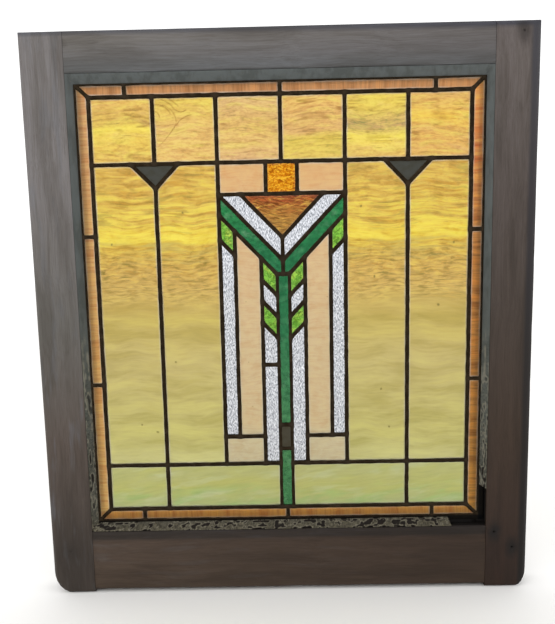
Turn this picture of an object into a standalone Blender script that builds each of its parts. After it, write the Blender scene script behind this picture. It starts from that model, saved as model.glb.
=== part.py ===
"""Leaded glass window in a dark wooden sash, modelled in metres with +Z up.

The front looks along -Y. The origin is the middle of the bottom rail's underside, halfway
through the sash. Each pane is drawn by the came lines around it: a line carries its came,
and a pane's corners are where neighbouring lines cross.
"""

import math
from collections import namedtuple

import bmesh
import bpy

# Clearance between pieces that touch, and how far a cutter or a joined block overshoots
FIT = 0.0003
OVERCUT = 0.005

# Sash
SASH_WIDTH = 0.610
SASH_HEIGHT = 0.6965
SASH_THICKNESS = 0.035
STILE_WIDTH = 0.0527
TOP_RAIL_WIDTH = 0.0485
BOTTOM_RAIL_WIDTH = 0.080
FOOT_DROP = 0.0035
REBATE_DEPTH = 0.0135
SIDE_LIP_WIDTH = 0.0093
END_LIP_WIDTH = 0.0125

# Blind tenons of the rails
TENON_LENGTH = 0.038
TENON_THICKNESS = 0.011
TENON_SETBACK = 0.005
TENON_SHOULDER = 0.010

# Worn front edges and worn feet of the sash
ARRIS_DEPTH = 0.004
LEFT_ARRIS_WIDTH = 0.006
RIGHT_ARRIS_WIDTH = 0.0105
TOP_ARRIS_WIDTH = 0.0065
BOTTOM_ARRIS_WIDTH = 0.004
LEFT_FOOT_WIDTH = 0.025
LEFT_FOOT_HEIGHT = 0.032
RIGHT_FOOT_WIDTH = 0.017
RIGHT_FOOT_HEIGHT = 0.025
ARC_STEPS = 6

# Lead cames and glass
CAME_FACE = 0.0048
STEM_CAME_FACE = 0.0040
CAME_DEPTH = 0.0052
CAME_HEART = 0.0016
CAME_EASE = 0.0009
CAME_EASE_DEPTH = 0.0005
RIM_CAME_FACE = 0.008
RIM_HEART = 0.003
PANEL_SIDE_GAP = 0.0022
PANEL_END_GAP = 0.0054
GLASS_THICKNESS = 0.003

# Putty bead, broken away around the lower right corner
PUTTY_SIDE_WIDTH = 0.0078
PUTTY_END_WIDTH = 0.0102
PUTTY_SETBACK = 0.0005
PUTTY_TOE = 0.0006
PUTTY_SIDE_BREAK = 0.049
PUTTY_END_BREAK = 0.0433
PUTTY_BREAK_SLANT = 0.004

# Border of the panel
BORDER_SIDE_WIDTH = 0.0140
BORDER_END_WIDTH = 0.0132
BORDER_END_BREAK = 0.1847
BORDER_SIDE_BREAK = 0.0929

# Field of the panel
TOP_ROW_HEIGHT = 0.0790
BOTTOM_ROW_HEIGHT = 0.0583
HANGING_TRIANGLE_WIDTH = 0.0568
HANGING_TRIANGLE_DEPTH = 0.0293

# Plant motif in the middle of the field
MOTIF_WIDTH = 0.1534
SMALL_ROW_HEIGHT = 0.0380
ORANGE_WIDTH = 0.0378
OUTER_STRIP_WIDTH = 0.0182
CENTRE_STRIP_WIDTH = 0.0534
CREAM_BLOCK_HEIGHT = 0.0361
VEE_DEPTH = 0.0806
WHITE_BAR_DROP = 0.0275
GREEN_BAR_DROP = 0.0248
LEAF_DROP = 0.0271
LEAF_SPACING = 0.0262
LIME_DROP = 0.030
STEM_WIDTH = 0.0150
STEM_FOOT_HEIGHT = 0.0778
STEM_BLOCK_HEIGHT = 0.0313
CROSSBAR_DROP = 0.0254

# Levels through the thickness
FRONT = -SASH_THICKNESS / 2
BACK = SASH_THICKNESS / 2
REBATE_FLOOR = FRONT + REBATE_DEPTH
CAME_BACK = REBATE_FLOOR - FIT
CAME_FRONT = CAME_BACK - CAME_DEPTH
GLASS_MIDDLE = (CAME_FRONT + CAME_BACK) / 2

# Opening of the sash and sight edge of the panel
OPENING_X = SASH_WIDTH / 2 - STILE_WIDTH
OPENING_BOTTOM = BOTTOM_RAIL_WIDTH
OPENING_TOP = SASH_HEIGHT - TOP_RAIL_WIDTH
PANEL_X = OPENING_X - PANEL_SIDE_GAP
PANEL_BOTTOM = OPENING_BOTTOM + PANEL_END_GAP
PANEL_TOP = OPENING_TOP - PANEL_END_GAP
RIM_X = PANEL_X - RIM_CAME_FACE
RIM_BOTTOM = PANEL_BOTTOM + RIM_CAME_FACE
RIM_TOP = PANEL_TOP - RIM_CAME_FACE
RIM_MIDDLE = (RIM_BOTTOM + RIM_TOP) / 2

# Came lines, as distances from the middle of the panel or heights above the origin
FIELD_X = RIM_X - BORDER_SIDE_WIDTH
FIELD_TOP = RIM_TOP - BORDER_END_WIDTH
FIELD_BOTTOM = RIM_BOTTOM + BORDER_END_WIDTH
ROW_TOP = FIELD_TOP - TOP_ROW_HEIGHT
ROW_BOTTOM = FIELD_BOTTOM + BOTTOM_ROW_HEIGHT
MOTIF_X = MOTIF_WIDTH / 2
BAY_X = (MOTIF_X + FIELD_X) / 2
VEE_TOP = ROW_TOP - SMALL_ROW_HEIGHT
VEE_SLOPE = VEE_DEPTH / MOTIF_X
WHITE_APEX = VEE_TOP - VEE_DEPTH
TRIANGLE_APEX = WHITE_APEX + WHITE_BAR_DROP
GREEN_APEX = WHITE_APEX - GREEN_BAR_DROP
UPPER_LEAF_FOOT = GREEN_APEX - LEAF_DROP
LOWER_LEAF_TOP = UPPER_LEAF_FOOT - LEAF_SPACING
LOWER_LEAF_FOOT = LOWER_LEAF_TOP - LEAF_DROP
LIME_FOOT = GREEN_APEX - LIME_DROP
STRIP_X = MOTIF_X - OUTER_STRIP_WIDTH
CENTRE_X = CENTRE_STRIP_WIDTH / 2
STEM_X = STEM_WIDTH / 2
STEM_TOP = GREEN_APEX + VEE_SLOPE * STEM_X
BLOCK_BOTTOM = FIELD_BOTTOM + STEM_FOOT_HEIGHT
BLOCK_TOP = BLOCK_BOTTOM + STEM_BLOCK_HEIGHT
CREAM_BLOCK_TOP = ROW_BOTTOM + CREAM_BLOCK_HEIGHT
CROSSBAR_Z = LOWER_LEAF_FOOT - CROSSBAR_DROP

# Colour, roughness, metallic value and alpha of each finish
FINISHES = {
    "dark_wood": ((0.045, 0.030, 0.023), 0.60, 0.0, 1.0),
    "lead": ((0.040, 0.035, 0.030), 0.50, 0.8, 1.0),
    "putty": ((0.150, 0.145, 0.125), 0.90, 0.0, 1.0),
    "amber_glass": ((0.560, 0.250, 0.060), 0.20, 0.0, 0.80),
    "honey_glass": ((0.620, 0.420, 0.110), 0.20, 0.0, 0.80),
    "field_glass": ((0.500, 0.430, 0.130), 0.20, 0.0, 0.80),
    "pale_green_glass": ((0.480, 0.500, 0.210), 0.20, 0.0, 0.80),
    "cream_glass": ((0.760, 0.500, 0.240), 0.20, 0.0, 0.85),
    "orange_glass": ((0.850, 0.290, 0.010), 0.20, 0.0, 0.80),
    "brown_glass": ((0.330, 0.120, 0.035), 0.20, 0.0, 0.85),
    "green_glass": ((0.020, 0.200, 0.060), 0.20, 0.0, 0.80),
    "leaf_glass": ((0.150, 0.400, 0.030), 0.20, 0.0, 0.80),
    "dark_glass": ((0.060, 0.065, 0.052), 0.25, 0.0, 0.95),
    "clear_glass": ((0.750, 0.760, 0.770), 0.30, 0.0, 0.40),
}

# A came line: a point on it, its direction, and how far the came's face and the space
# for the glass stand off from it
Line = namedtuple("Line", "x z dx dz face space")


def upright(x, came=CAME_FACE):
    """A came that runs up at x."""
    return Line(x, 0.0, 0.0, 1.0, came / 2, CAME_HEART / 2)


def level(z, came=CAME_FACE):
    """A came that runs across at height z."""
    return Line(0.0, z, 1.0, 0.0, came / 2, CAME_HEART / 2)


def slant(x, z, dx, dz):
    """A came that runs through (x, z) along (dx, dz)."""
    return Line(x, z, dx, dz, CAME_FACE / 2, CAME_HEART / 2)


def vee(apex, side):
    """One arm of the vee family, rising to the side from its apex on the centre line."""
    return slant(0.0, apex, side, VEE_SLOPE)


def rim(line):
    """The same line as a sight edge of the rim came, whose channel lies outside it."""
    return line._replace(face=0.0, space=RIM_HEART - RIM_CAME_FACE)


def crossing(first, second):
    """The point where two lines cross."""
    turn = first.dx * second.dz - first.dz * second.dx
    step = ((second.x - first.x) * second.dz - (second.z - first.z) * second.dx) / turn
    return first.x + step * first.dx, first.z + step * first.dz


def signed_area(points):
    """Area of an outline, positive when it runs anticlockwise seen from the front."""
    pairs = zip(points, points[1:] + points[:1])
    return sum(a[0] * b[1] - b[0] * a[1] for a, b in pairs) / 2


def shifted(line, start, end, distance):
    """A line moved sideways, to the left of the way from start to end."""
    run = math.dist(start, end)
    across_x = (start[1] - end[1]) / run
    across_z = (end[0] - start[0]) / run
    return line._replace(x=line.x + distance * across_x, z=line.z + distance * across_z)


def outline(lines, offset):
    """Corners of the pane inside the lines, each moved inwards by offset(line)."""
    count = len(lines)
    corners = [crossing(lines[i - 1], lines[i]) for i in range(count)]
    inwards = math.copysign(1.0, signed_area(corners))
    moved = []
    for i, line in enumerate(lines):
        start, end = corners[i], corners[(i + 1) % count]
        moved.append(shifted(line, start, end, inwards * offset(line)))
    points = [crossing(moved[i - 1], moved[i]) for i in range(count)]
    return points if inwards > 0 else points[::-1]


RIM_LEFT, RIM_RIGHT = rim(upright(-RIM_X)), rim(upright(RIM_X))
RIM_LOW, RIM_HIGH = rim(level(RIM_BOTTOM)), rim(level(RIM_TOP))


def border_panes():
    """The strips between the rim and the field; a corner's two strips are one piece."""
    panes = []
    for side, side_name, edge in ((-1, "left", RIM_LEFT), (1, "right", RIM_RIGHT)):
        inner = upright(side * FIELD_X)
        high = level(RIM_MIDDLE + BORDER_SIDE_BREAK)
        low = level(RIM_MIDDLE - BORDER_SIDE_BREAK)
        panes.append((f"border_glass_{side_name}", "amber_glass", [edge, high, inner, low]))
        ends = (("top", RIM_HIGH, level(FIELD_TOP), high),
                ("bottom", RIM_LOW, level(FIELD_BOTTOM), low))
        for end_name, end, field, side_break in ends:
            end_break = upright(side * BORDER_END_BREAK)
            corner = [edge, end, end_break, field, inner, side_break]
            panes.append((f"border_corner_{end_name}_{side_name}", "amber_glass", corner))
            strip = [end_break, end, upright(0.0), field]
            panes.append((f"border_glass_{end_name}_{side_name}", "amber_glass", strip))
    return panes


def field_panes():
    """The row of squares, the tall bays with their hanging triangles, and the bottom row."""
    panes = []
    columns = [-FIELD_X, -BAY_X, -MOTIF_X, 0.0, MOTIF_X, BAY_X, FIELD_X]
    for i, (left, right) in enumerate(zip(columns, columns[1:])):
        square = [upright(left), level(ROW_TOP), upright(right), level(FIELD_TOP)]
        panes.append((f"square_glass_{i + 1}", "honey_glass", square))
    floor = level(ROW_BOTTOM)
    ceiling = level(ROW_TOP)
    apex = ROW_TOP - HANGING_TRIANGLE_DEPTH
    lean = HANGING_TRIANGLE_WIDTH / 2
    for side, name in ((-1, "left"), (1, "right")):
        bay = upright(side * BAY_X)
        inner_slope = slant(side * BAY_X, apex, -side * lean, HANGING_TRIANGLE_DEPTH)
        outer_slope = slant(side * BAY_X, apex, side * lean, HANGING_TRIANGLE_DEPTH)
        inner = [upright(side * MOTIF_X), floor, bay, inner_slope, ceiling]
        outer = [upright(side * FIELD_X), floor, bay, outer_slope, ceiling]
        panes.append((f"tall_glass_inner_{name}", "field_glass", inner))
        panes.append((f"tall_glass_outer_{name}", "field_glass", outer))
        triangle = [inner_slope, outer_slope, ceiling]
        panes.append((f"hanging_triangle_{name}", "dark_glass", triangle))
        base = level(FIELD_BOTTOM)
        stem = upright(side * STEM_X, STEM_CAME_FACE)
        panes.append((f"base_glass_inner_{name}", "pale_green_glass", [stem, base, bay, floor]))
        corner = [bay, base, upright(side * FIELD_X), floor]
        panes.append((f"base_glass_outer_{name}", "pale_green_glass", corner))
    return panes


def motif_panes():
    """The plant: small row, vee, leaves, strips and stem."""
    panes = []
    lintel = level(VEE_TOP)
    ceiling = level(ROW_TOP)
    orange = [upright(-ORANGE_WIDTH / 2), lintel, upright(ORANGE_WIDTH / 2), ceiling]
    panes.append(("orange_square", "orange_glass", orange))
    brown = [vee(TRIANGLE_APEX, -1), vee(TRIANGLE_APEX, 1), lintel]
    panes.append(("brown_triangle", "brown_glass", brown))
    for side, name in ((-1, "left"), (1, "right")):
        panes.extend(motif_side_panes(side, name, lintel, ceiling))
    left, right = (upright(side * STEM_X, STEM_CAME_FACE) for side in (-1, 1))
    joints = [level(z) for z in (FIELD_BOTTOM, BLOCK_BOTTOM, BLOCK_TOP, STEM_TOP)]
    kinds = (("stem_foot", "green_glass"), ("stem_block", "dark_glass"),
             ("stem_upper", "green_glass"))
    for (stem_name, finish), low, high in zip(kinds, joints, joints[1:]):
        panes.append((stem_name, finish, [left, low, right, high]))
    return panes


def motif_side_panes(side, name, lintel, ceiling):
    """The motif's panes on one side of the stem."""
    middle = upright(0.0)
    edge = upright(side * MOTIF_X)
    strip = upright(side * STRIP_X)
    centre = upright(side * CENTRE_X)
    stem = upright(side * STEM_X, STEM_CAME_FACE)
    floor = level(ROW_BOTTOM)
    block_top = level(CREAM_BLOCK_TOP)
    heights = (TRIANGLE_APEX, WHITE_APEX, GREEN_APEX, UPPER_LEAF_FOOT, LOWER_LEAF_TOP,
               LOWER_LEAF_FOOT, LIME_FOOT)
    triangle, white, green, leaf_a, leaf_b, leaf_c, lime = (vee(z, side) for z in heights)
    panes = [
        ("small_cream", "cream_glass", [upright(side * ORANGE_WIDTH / 2), lintel, edge, ceiling]),
        ("white_bar", "clear_glass", [middle, white, lintel, triangle]),
        ("green_bar", "green_glass", [middle, level(STEM_TOP), green, edge, white]),
        ("lime_piece", "leaf_glass", [strip, lime, edge, green]),
        ("upper_leaf", "leaf_glass", [stem, leaf_a, centre, green]),
        ("leaf_gap", "clear_glass", [stem, leaf_b, centre, leaf_a]),
        ("lower_leaf", "leaf_glass", [stem, leaf_c, centre, leaf_b]),
        ("cream_strip", "cream_glass", [centre, block_top, strip, green]),
        ("clear_strip_outer", "clear_glass", [strip, block_top, edge, lime]),
        ("cream_block", "cream_glass", [centre, floor, edge, block_top]),
    ]
    if side < 0:
        bar = level(CROSSBAR_Z)
        panes.append(("clear_strip_upper", "clear_glass", [stem, bar, centre, leaf_c]))
        panes.append(("clear_strip_lower", "clear_glass", [stem, floor, centre, bar]))
    else:
        panes.append(("clear_strip_inner", "clear_glass", [stem, floor, centre, leaf_c]))
    return [(f"{pane}_{name}", finish, lines) for pane, finish, lines in panes]


def mitred(lines):
    """A border corner's six lines as its two strips, parted by the mitre came."""
    edge, end, end_break, field, inner, side_break = lines
    outer_x, outer_z = crossing(edge, end)
    inner_x, inner_z = crossing(field, inner)
    mitre = slant(inner_x, inner_z, outer_x - inner_x, outer_z - inner_z)
    return [[mitre, end, end_break, field], [edge, mitre, inner, side_break]]


def make_material(name):
    colour, roughness, metallic, alpha = FINISHES[name]
    material = bpy.data.materials.new(name)
    material.use_nodes = True
    shader = material.node_tree.nodes["Principled BSDF"]
    shader.inputs["Base Color"].default_value = (*colour, 1.0)
    shader.inputs["Roughness"].default_value = roughness
    shader.inputs["Metallic"].default_value = metallic
    shader.inputs["Alpha"].default_value = alpha
    return material


def add_loft(mesh, sections):
    """Add a closed skin over rings of points that all have the same count."""
    rings = [[mesh.verts.new(point) for point in section] for section in sections]
    count = len(rings[0])
    for ring, following in zip(rings, rings[1:]):
        for i in range(count):
            j = (i + 1) % count
            mesh.faces.new((ring[i], ring[j], following[j], following[i]))
    mesh.faces.new(rings[0])
    mesh.faces.new(rings[-1])


def add_box(mesh, low, high):
    """Add a box between two corners."""
    ring = [(low[0], low[1]), (high[0], low[1]), (high[0], high[1]), (low[0], high[1])]
    add_loft(mesh, [[(x, y, z) for x, y in ring] for z in (low[2], high[2])])


def make_object(name, mesh, finish=None):
    """Turn a bmesh into an object; without a finish it is a cutter."""
    bmesh.ops.recalc_face_normals(mesh, faces=mesh.faces[:])
    data = bpy.data.meshes.new(name)
    mesh.to_mesh(data)
    mesh.free()
    piece = bpy.data.objects.new(name, data)
    bpy.context.scene.collection.objects.link(piece)
    if finish:
        data.materials.append(bpy.data.materials.get(finish) or make_material(finish))
    else:
        piece.hide_render = True
        piece.display_type = "WIRE"
    return piece


def cut(piece, cutter):
    """Take one cutter out of a piece."""
    boolean = piece.modifiers.new(cutter.name, "BOOLEAN")
    boolean.operation = "DIFFERENCE"
    boolean.object = cutter


def spandrel(width, depth):
    """What lies between a corner and a quarter ellipse, from the corner at (0, 0)."""
    turns = [math.pi / 2 * i / ARC_STEPS for i in range(ARC_STEPS + 1)]
    return [(-width, -depth), (width, -depth)] + [
        (width * (1 - math.sin(turn)), depth * (1 - math.cos(turn))) for turn in turns
    ] + [(-width, depth)]


def arris_cutter(name, corner, inwards, width, along):
    """Round the front edge through corner; inwards and along are unit X-Z steps."""
    mesh = bmesh.new()
    sections = []
    for step in (-SASH_HEIGHT, SASH_HEIGHT):
        sections.append([
            (corner[0] + inwards[0] * face + along[0] * step, FRONT + depth,
             corner[1] + inwards[1] * face + along[1] * step)
            for face, depth in spandrel(width, ARRIS_DEPTH)
        ])
    add_loft(mesh, sections)
    return make_object(name, mesh)


def foot_cutter(name, side, width, height):
    """Round the outer lower corner of a stile through its whole thickness."""
    mesh = bmesh.new()
    sections = [
        [(side * (SASH_WIDTH / 2 - across), y, -FOOT_DROP + up)
         for across, up in spandrel(width, height)]
        for y in (FRONT - OVERCUT, BACK + OVERCUT)
    ]
    add_loft(mesh, sections)
    return make_object(name, mesh)


def tenon_box(side, low, high, slack):
    """Corners of a tenon and its root in the rail, or with slack those of its mortise."""
    root = OPENING_X - SIDE_LIP_WIDTH - FIT
    start, end = root - OVERCUT, root + TENON_LENGTH + slack
    near = REBATE_FLOOR + TENON_SETBACK - slack
    far = REBATE_FLOOR + TENON_SETBACK + TENON_THICKNESS + slack
    xs = sorted((side * start, side * end))
    return (xs[0], near, low - slack), (xs[1], far, high + slack)


TENON_LEVELS = (
    (TENON_SHOULDER, BOTTOM_RAIL_WIDTH - TENON_SHOULDER),
    (OPENING_TOP + TENON_SHOULDER, SASH_HEIGHT - TENON_SHOULDER),
)


def make_stile(name, side, arris, foot_width, foot_height):
    """A full-height stile with its rebate, mortises, worn edge and worn foot."""
    outer = side * SASH_WIDTH / 2
    edge = side * OPENING_X
    lip = side * (OPENING_X - SIDE_LIP_WIDTH)
    profile = [(outer, FRONT), (edge, FRONT), (edge, REBATE_FLOOR), (lip, REBATE_FLOOR),
               (lip, BACK), (outer, BACK)]
    mesh = bmesh.new()
    add_loft(mesh, [[(x, y, z) for x, y in profile] for z in (-FOOT_DROP, SASH_HEIGHT)])
    stile = make_object(name, mesh, "dark_wood")
    for i, (low, high) in enumerate(TENON_LEVELS):
        mesh = bmesh.new()
        add_box(mesh, *tenon_box(side, low, high, FIT))
        cut(stile, make_object(f"{name}_mortise_{i + 1}", mesh))
    inwards = (-side, 0)
    cut(stile, arris_cutter(f"{name}_arris", (outer, 0), inwards, arris, (0, 1)))
    cut(stile, foot_cutter(f"{name}_foot_round", side, foot_width, foot_height))
    return stile


def make_rail(name, outer, opening, lip, levels):
    """A rail whose rear shoulders stop at the stiles' lips, with a tenon at each end."""
    low, high = sorted((outer, lip))
    front_x = OPENING_X - FIT
    rear_x = OPENING_X - SIDE_LIP_WIDTH - FIT
    profile = [(FRONT, outer), (BACK, outer), (BACK, lip), (REBATE_FLOOR, lip),
               (REBATE_FLOOR, opening), (FRONT, opening)]
    mesh = bmesh.new()
    add_loft(mesh, [[(x, y, z) for y, z in profile] for x in (-front_x, front_x)])
    rail = make_object(name, mesh, "dark_wood")
    for side, side_name in ((-1, "left"), (1, "right")):
        mesh = bmesh.new()
        xs = sorted((side * rear_x, side * (front_x + OVERCUT)))
        add_box(mesh, (xs[0], REBATE_FLOOR - FIT, low - OVERCUT),
                (xs[1], BACK + OVERCUT, high + OVERCUT))
        cut(rail, make_object(f"{name}_shoulder_{side_name}", mesh))
    for side, side_name in ((-1, "left"), (1, "right")):
        mesh = bmesh.new()
        add_box(mesh, *tenon_box(side, *levels, 0.0))
        tenon = rail.modifiers.new(f"tenon_{side_name}", "BOOLEAN")
        tenon.operation = "UNION"
        tenon.object = make_object(f"{name}_tenon_{side_name}", mesh)
    return rail


def make_sash():
    left = make_stile("stile_left", -1, LEFT_ARRIS_WIDTH, LEFT_FOOT_WIDTH, LEFT_FOOT_HEIGHT)
    right = make_stile("stile_right", 1, RIGHT_ARRIS_WIDTH, RIGHT_FOOT_WIDTH,
                       RIGHT_FOOT_HEIGHT)
    bottom = make_rail("rail_bottom", 0.0, OPENING_BOTTOM, OPENING_BOTTOM + END_LIP_WIDTH,
                       TENON_LEVELS[0])
    top = make_rail("rail_top", SASH_HEIGHT, OPENING_TOP, OPENING_TOP - END_LIP_WIDTH,
                    TENON_LEVELS[1])
    top_arris = arris_cutter("top_arris", (0, SASH_HEIGHT), (0, -1), TOP_ARRIS_WIDTH, (1, 0))
    for member in (left, right, top):
        cut(member, top_arris)
    cut(bottom, arris_cutter("bottom_arris", (0, 0), (0, 1), BOTTOM_ARRIS_WIDTH, (1, 0)))
    foot_arris = arris_cutter("foot_arris", (0, -FOOT_DROP), (0, 1), BOTTOM_ARRIS_WIDTH, (1, 0))
    for member in (left, right):
        cut(member, foot_arris)


def add_came_opening(mesh, lines):
    """The way through the lead for one pane, flared at both faces to ease the came."""
    narrow = outline(lines, lambda line: line.face)
    wide = outline(lines, lambda line: line.face - CAME_EASE)
    levels = (
        (CAME_FRONT - CAME_DEPTH, wide),
        (CAME_FRONT, wide),
        (CAME_FRONT + CAME_EASE_DEPTH, narrow),
        (CAME_BACK - CAME_EASE_DEPTH, narrow),
        (CAME_BACK, wide),
        (CAME_BACK + CAME_DEPTH, wide),
    )
    add_loft(mesh, [[(x, y, z) for x, z in points] for y, points in levels])


def add_slab(mesh, lines, slack):
    """A pane's glass, or with slack the channel around it."""
    points = outline(lines, lambda line: line.space + FIT - slack)
    half = GLASS_THICKNESS / 2 + slack
    add_loft(mesh, [[(x, y, z) for x, z in points]
                    for y in (GLASS_MIDDLE - half, GLASS_MIDDLE + half)])


def make_panel():
    """The glass and the one network of lead that holds it."""
    panes = border_panes() + field_panes() + motif_panes()
    openings = bmesh.new()
    channels = bmesh.new()
    for name, finish, lines in panes:
        strips = mitred(lines) if name.startswith("border_corner") else [lines]
        for strip in strips:
            add_came_opening(openings, strip)
        add_slab(channels, lines, FIT)
        glass = bmesh.new()
        add_slab(glass, lines, 0.0)
        make_object(name, glass, finish)
    plate = bmesh.new()
    add_box(plate, (-PANEL_X, CAME_FRONT, PANEL_BOTTOM), (PANEL_X, CAME_BACK, PANEL_TOP))
    lead = make_object("lead_cames", plate, "lead")
    cut(lead, make_object("came_openings", openings))
    cut(lead, make_object("came_channels", channels))


def make_putty():
    """The mitred bead, from the break on the right stile round to that on the bottom rail."""
    gap = FIT
    face = FRONT + PUTTY_SETBACK
    toe = CAME_FRONT - FIT
    side_widths = (gap, PUTTY_SIDE_WIDTH, PUTTY_SIDE_WIDTH, PANEL_SIDE_GAP - gap,
                   PANEL_SIDE_GAP - gap, gap)
    end_widths = (gap, PUTTY_END_WIDTH, PUTTY_END_WIDTH, PANEL_END_GAP - gap,
                  PANEL_END_GAP - gap, gap)
    depths = (face, toe - PUTTY_TOE, toe, toe, CAME_BACK, CAME_BACK)
    slants = (0.0, PUTTY_BREAK_SLANT, PUTTY_BREAK_SLANT, PUTTY_BREAK_SLANT / 2,
              PUTTY_BREAK_SLANT / 2, 0.0)
    first = OPENING_BOTTOM + PUTTY_SIDE_BREAK
    last = OPENING_X - PUTTY_END_BREAK
    start = [(OPENING_X - side, y, first + lean)
             for side, y, lean in zip(side_widths, depths, slants)]
    sections = [start]
    for sign, height, up in ((1, OPENING_TOP, -1), (-1, OPENING_TOP, -1),
                             (-1, OPENING_BOTTOM, 1)):
        sections.append([(sign * (OPENING_X - side), y, height + up * end)
                         for side, end, y in zip(side_widths, end_widths, depths)])
    sections.append([(last - lean, y, OPENING_BOTTOM + end)
                     for end, y, lean in zip(end_widths, depths, slants)])
    mesh = bmesh.new()
    add_loft(mesh, sections)
    make_object("glazing_putty", mesh, "putty")


def main():
    for item in list(bpy.data.objects):
        bpy.data.objects.remove(item, do_unlink=True)
    make_sash()
    make_panel()
    make_putty()


main()
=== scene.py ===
import math

import bmesh
import bpy
import numpy as np
from mathutils import Matrix, Vector


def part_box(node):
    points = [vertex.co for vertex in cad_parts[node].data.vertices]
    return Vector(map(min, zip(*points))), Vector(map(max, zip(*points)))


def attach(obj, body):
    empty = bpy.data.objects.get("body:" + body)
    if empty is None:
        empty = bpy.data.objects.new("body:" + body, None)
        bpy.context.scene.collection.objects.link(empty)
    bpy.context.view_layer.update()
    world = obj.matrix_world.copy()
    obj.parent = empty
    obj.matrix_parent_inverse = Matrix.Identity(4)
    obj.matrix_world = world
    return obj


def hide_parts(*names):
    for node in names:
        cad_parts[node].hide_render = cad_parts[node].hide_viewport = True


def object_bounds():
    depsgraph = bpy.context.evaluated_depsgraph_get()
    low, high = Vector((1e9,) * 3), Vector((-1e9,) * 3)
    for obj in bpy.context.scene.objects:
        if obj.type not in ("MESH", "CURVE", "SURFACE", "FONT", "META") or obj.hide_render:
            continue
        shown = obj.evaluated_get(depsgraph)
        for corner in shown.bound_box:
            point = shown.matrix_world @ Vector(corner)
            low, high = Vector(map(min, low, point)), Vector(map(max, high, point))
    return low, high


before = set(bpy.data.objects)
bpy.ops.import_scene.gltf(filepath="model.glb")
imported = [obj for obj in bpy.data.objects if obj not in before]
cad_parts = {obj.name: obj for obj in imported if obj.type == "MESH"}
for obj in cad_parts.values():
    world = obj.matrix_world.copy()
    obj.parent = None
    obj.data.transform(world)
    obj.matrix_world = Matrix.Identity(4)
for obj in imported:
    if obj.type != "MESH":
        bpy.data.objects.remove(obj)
cadLow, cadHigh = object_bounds()
leadLow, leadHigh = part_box("lead_cames")
puttyLow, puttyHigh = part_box("glazing_putty")
# the bead's clearance to the sight edge, how near to something counts as on it, and a
# distance too small to matter
puttyFit, touching, tiny = 0.0003, 0.001, 0.0001
sightLow = puttyLow - Vector((puttyFit, 0.0, puttyFit))
sightHigh = puttyHigh + Vector((puttyFit, 0.0, puttyFit))
print("frame loaded:", len(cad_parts), "solids")


# Small helpers that every piece shares

def hexToLinear(code):
    # sRGB hex such as "#c8a050" to the linear colour that the shader works in
    parts = [int(code[i:i + 2], 16) / 255 for i in (1, 3, 5)]
    linear = [p / 12.92 if p <= 0.04045 else ((p + 0.055) / 1.055) ** 2.4 for p in parts]
    return (*linear, 1.0)


def addNode(tree, kind, inputs=None, links=None, stops=None, **settings):
    # one node with its settings, plain values, incoming links and, on a ramp, its stops
    node = tree.nodes.new("ShaderNode" + kind)
    for key, value in settings.items():
        setattr(node, key, value)
    for key, value in (inputs or {}).items():
        node.inputs[key].default_value = value
    for key, socket in (links or {}).items():
        tree.links.new(socket, node.inputs[key])
    if stops:
        ramp = node.color_ramp.elements
        ramp[0].position, ramp[1].position = stops[0][0], stops[-1][0]
        ramp[0].color, ramp[1].color = hexToLinear(stops[0][1]), hexToLinear(stops[-1][1])
        for place, code in stops[1:-1]:
            ramp.new(place).color = hexToLinear(code)
    return node


def newMaterial(name, values):
    # a material with its tree, its shader set to plain values, and the place on the piece
    material = bpy.data.materials.new(name)
    material.use_nodes = True
    tree = material.node_tree
    shader = tree.nodes["Principled BSDF"]
    for key, value in values.items():
        shader.inputs[key].default_value = value
    return material, tree, shader, addNode(tree, "TexCoord").outputs["Object"]


def perMetre(*sizes):
    # pattern sizes in mm, one per axis, as a mapping scale that gives one lump per size
    return tuple(1000 / size for size in sizes)


def colourByHeight(tree, height, levels):
    # a ramp over the colours of a list of (height in mm, hex)
    first, last = levels[0][0], levels[-1][0]
    share = addNode(tree, "MapRange", {"From Min": first / 1000, "From Max": last / 1000},
                    {"Value": height})
    ramp = addNode(tree, "ValToRGB", links={0: share.outputs[0]},
                   stops=[((level - first) / (last - first), code) for level, code in levels])
    return ramp.outputs[0]


# What a layer of pattern is where it doesn't say otherwise. Tones are laid as an overlay,
# which leaves the colour below alone at the even grey
layerFacts = {"share": 1.0, "turn": 0.0, "detail": 3.0, "roughness": 0.6, "swirl": 0.2,
              "low": 0.39, "high": 0.61, "evenGrey": "#bcbcbc"}


def tones(mm, dark, light, **more):
    # a layer that darkens and lightens, with lumps of the given size along each axis
    return {"mm": mm, "dark": dark, "light": light, **more}


def patches(mm, colour, low, high, **more):
    # a layer of one colour that comes in between two values of its noise
    return {"mm": mm, "colour": colour, "low": low, "high": high, **more}


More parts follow.
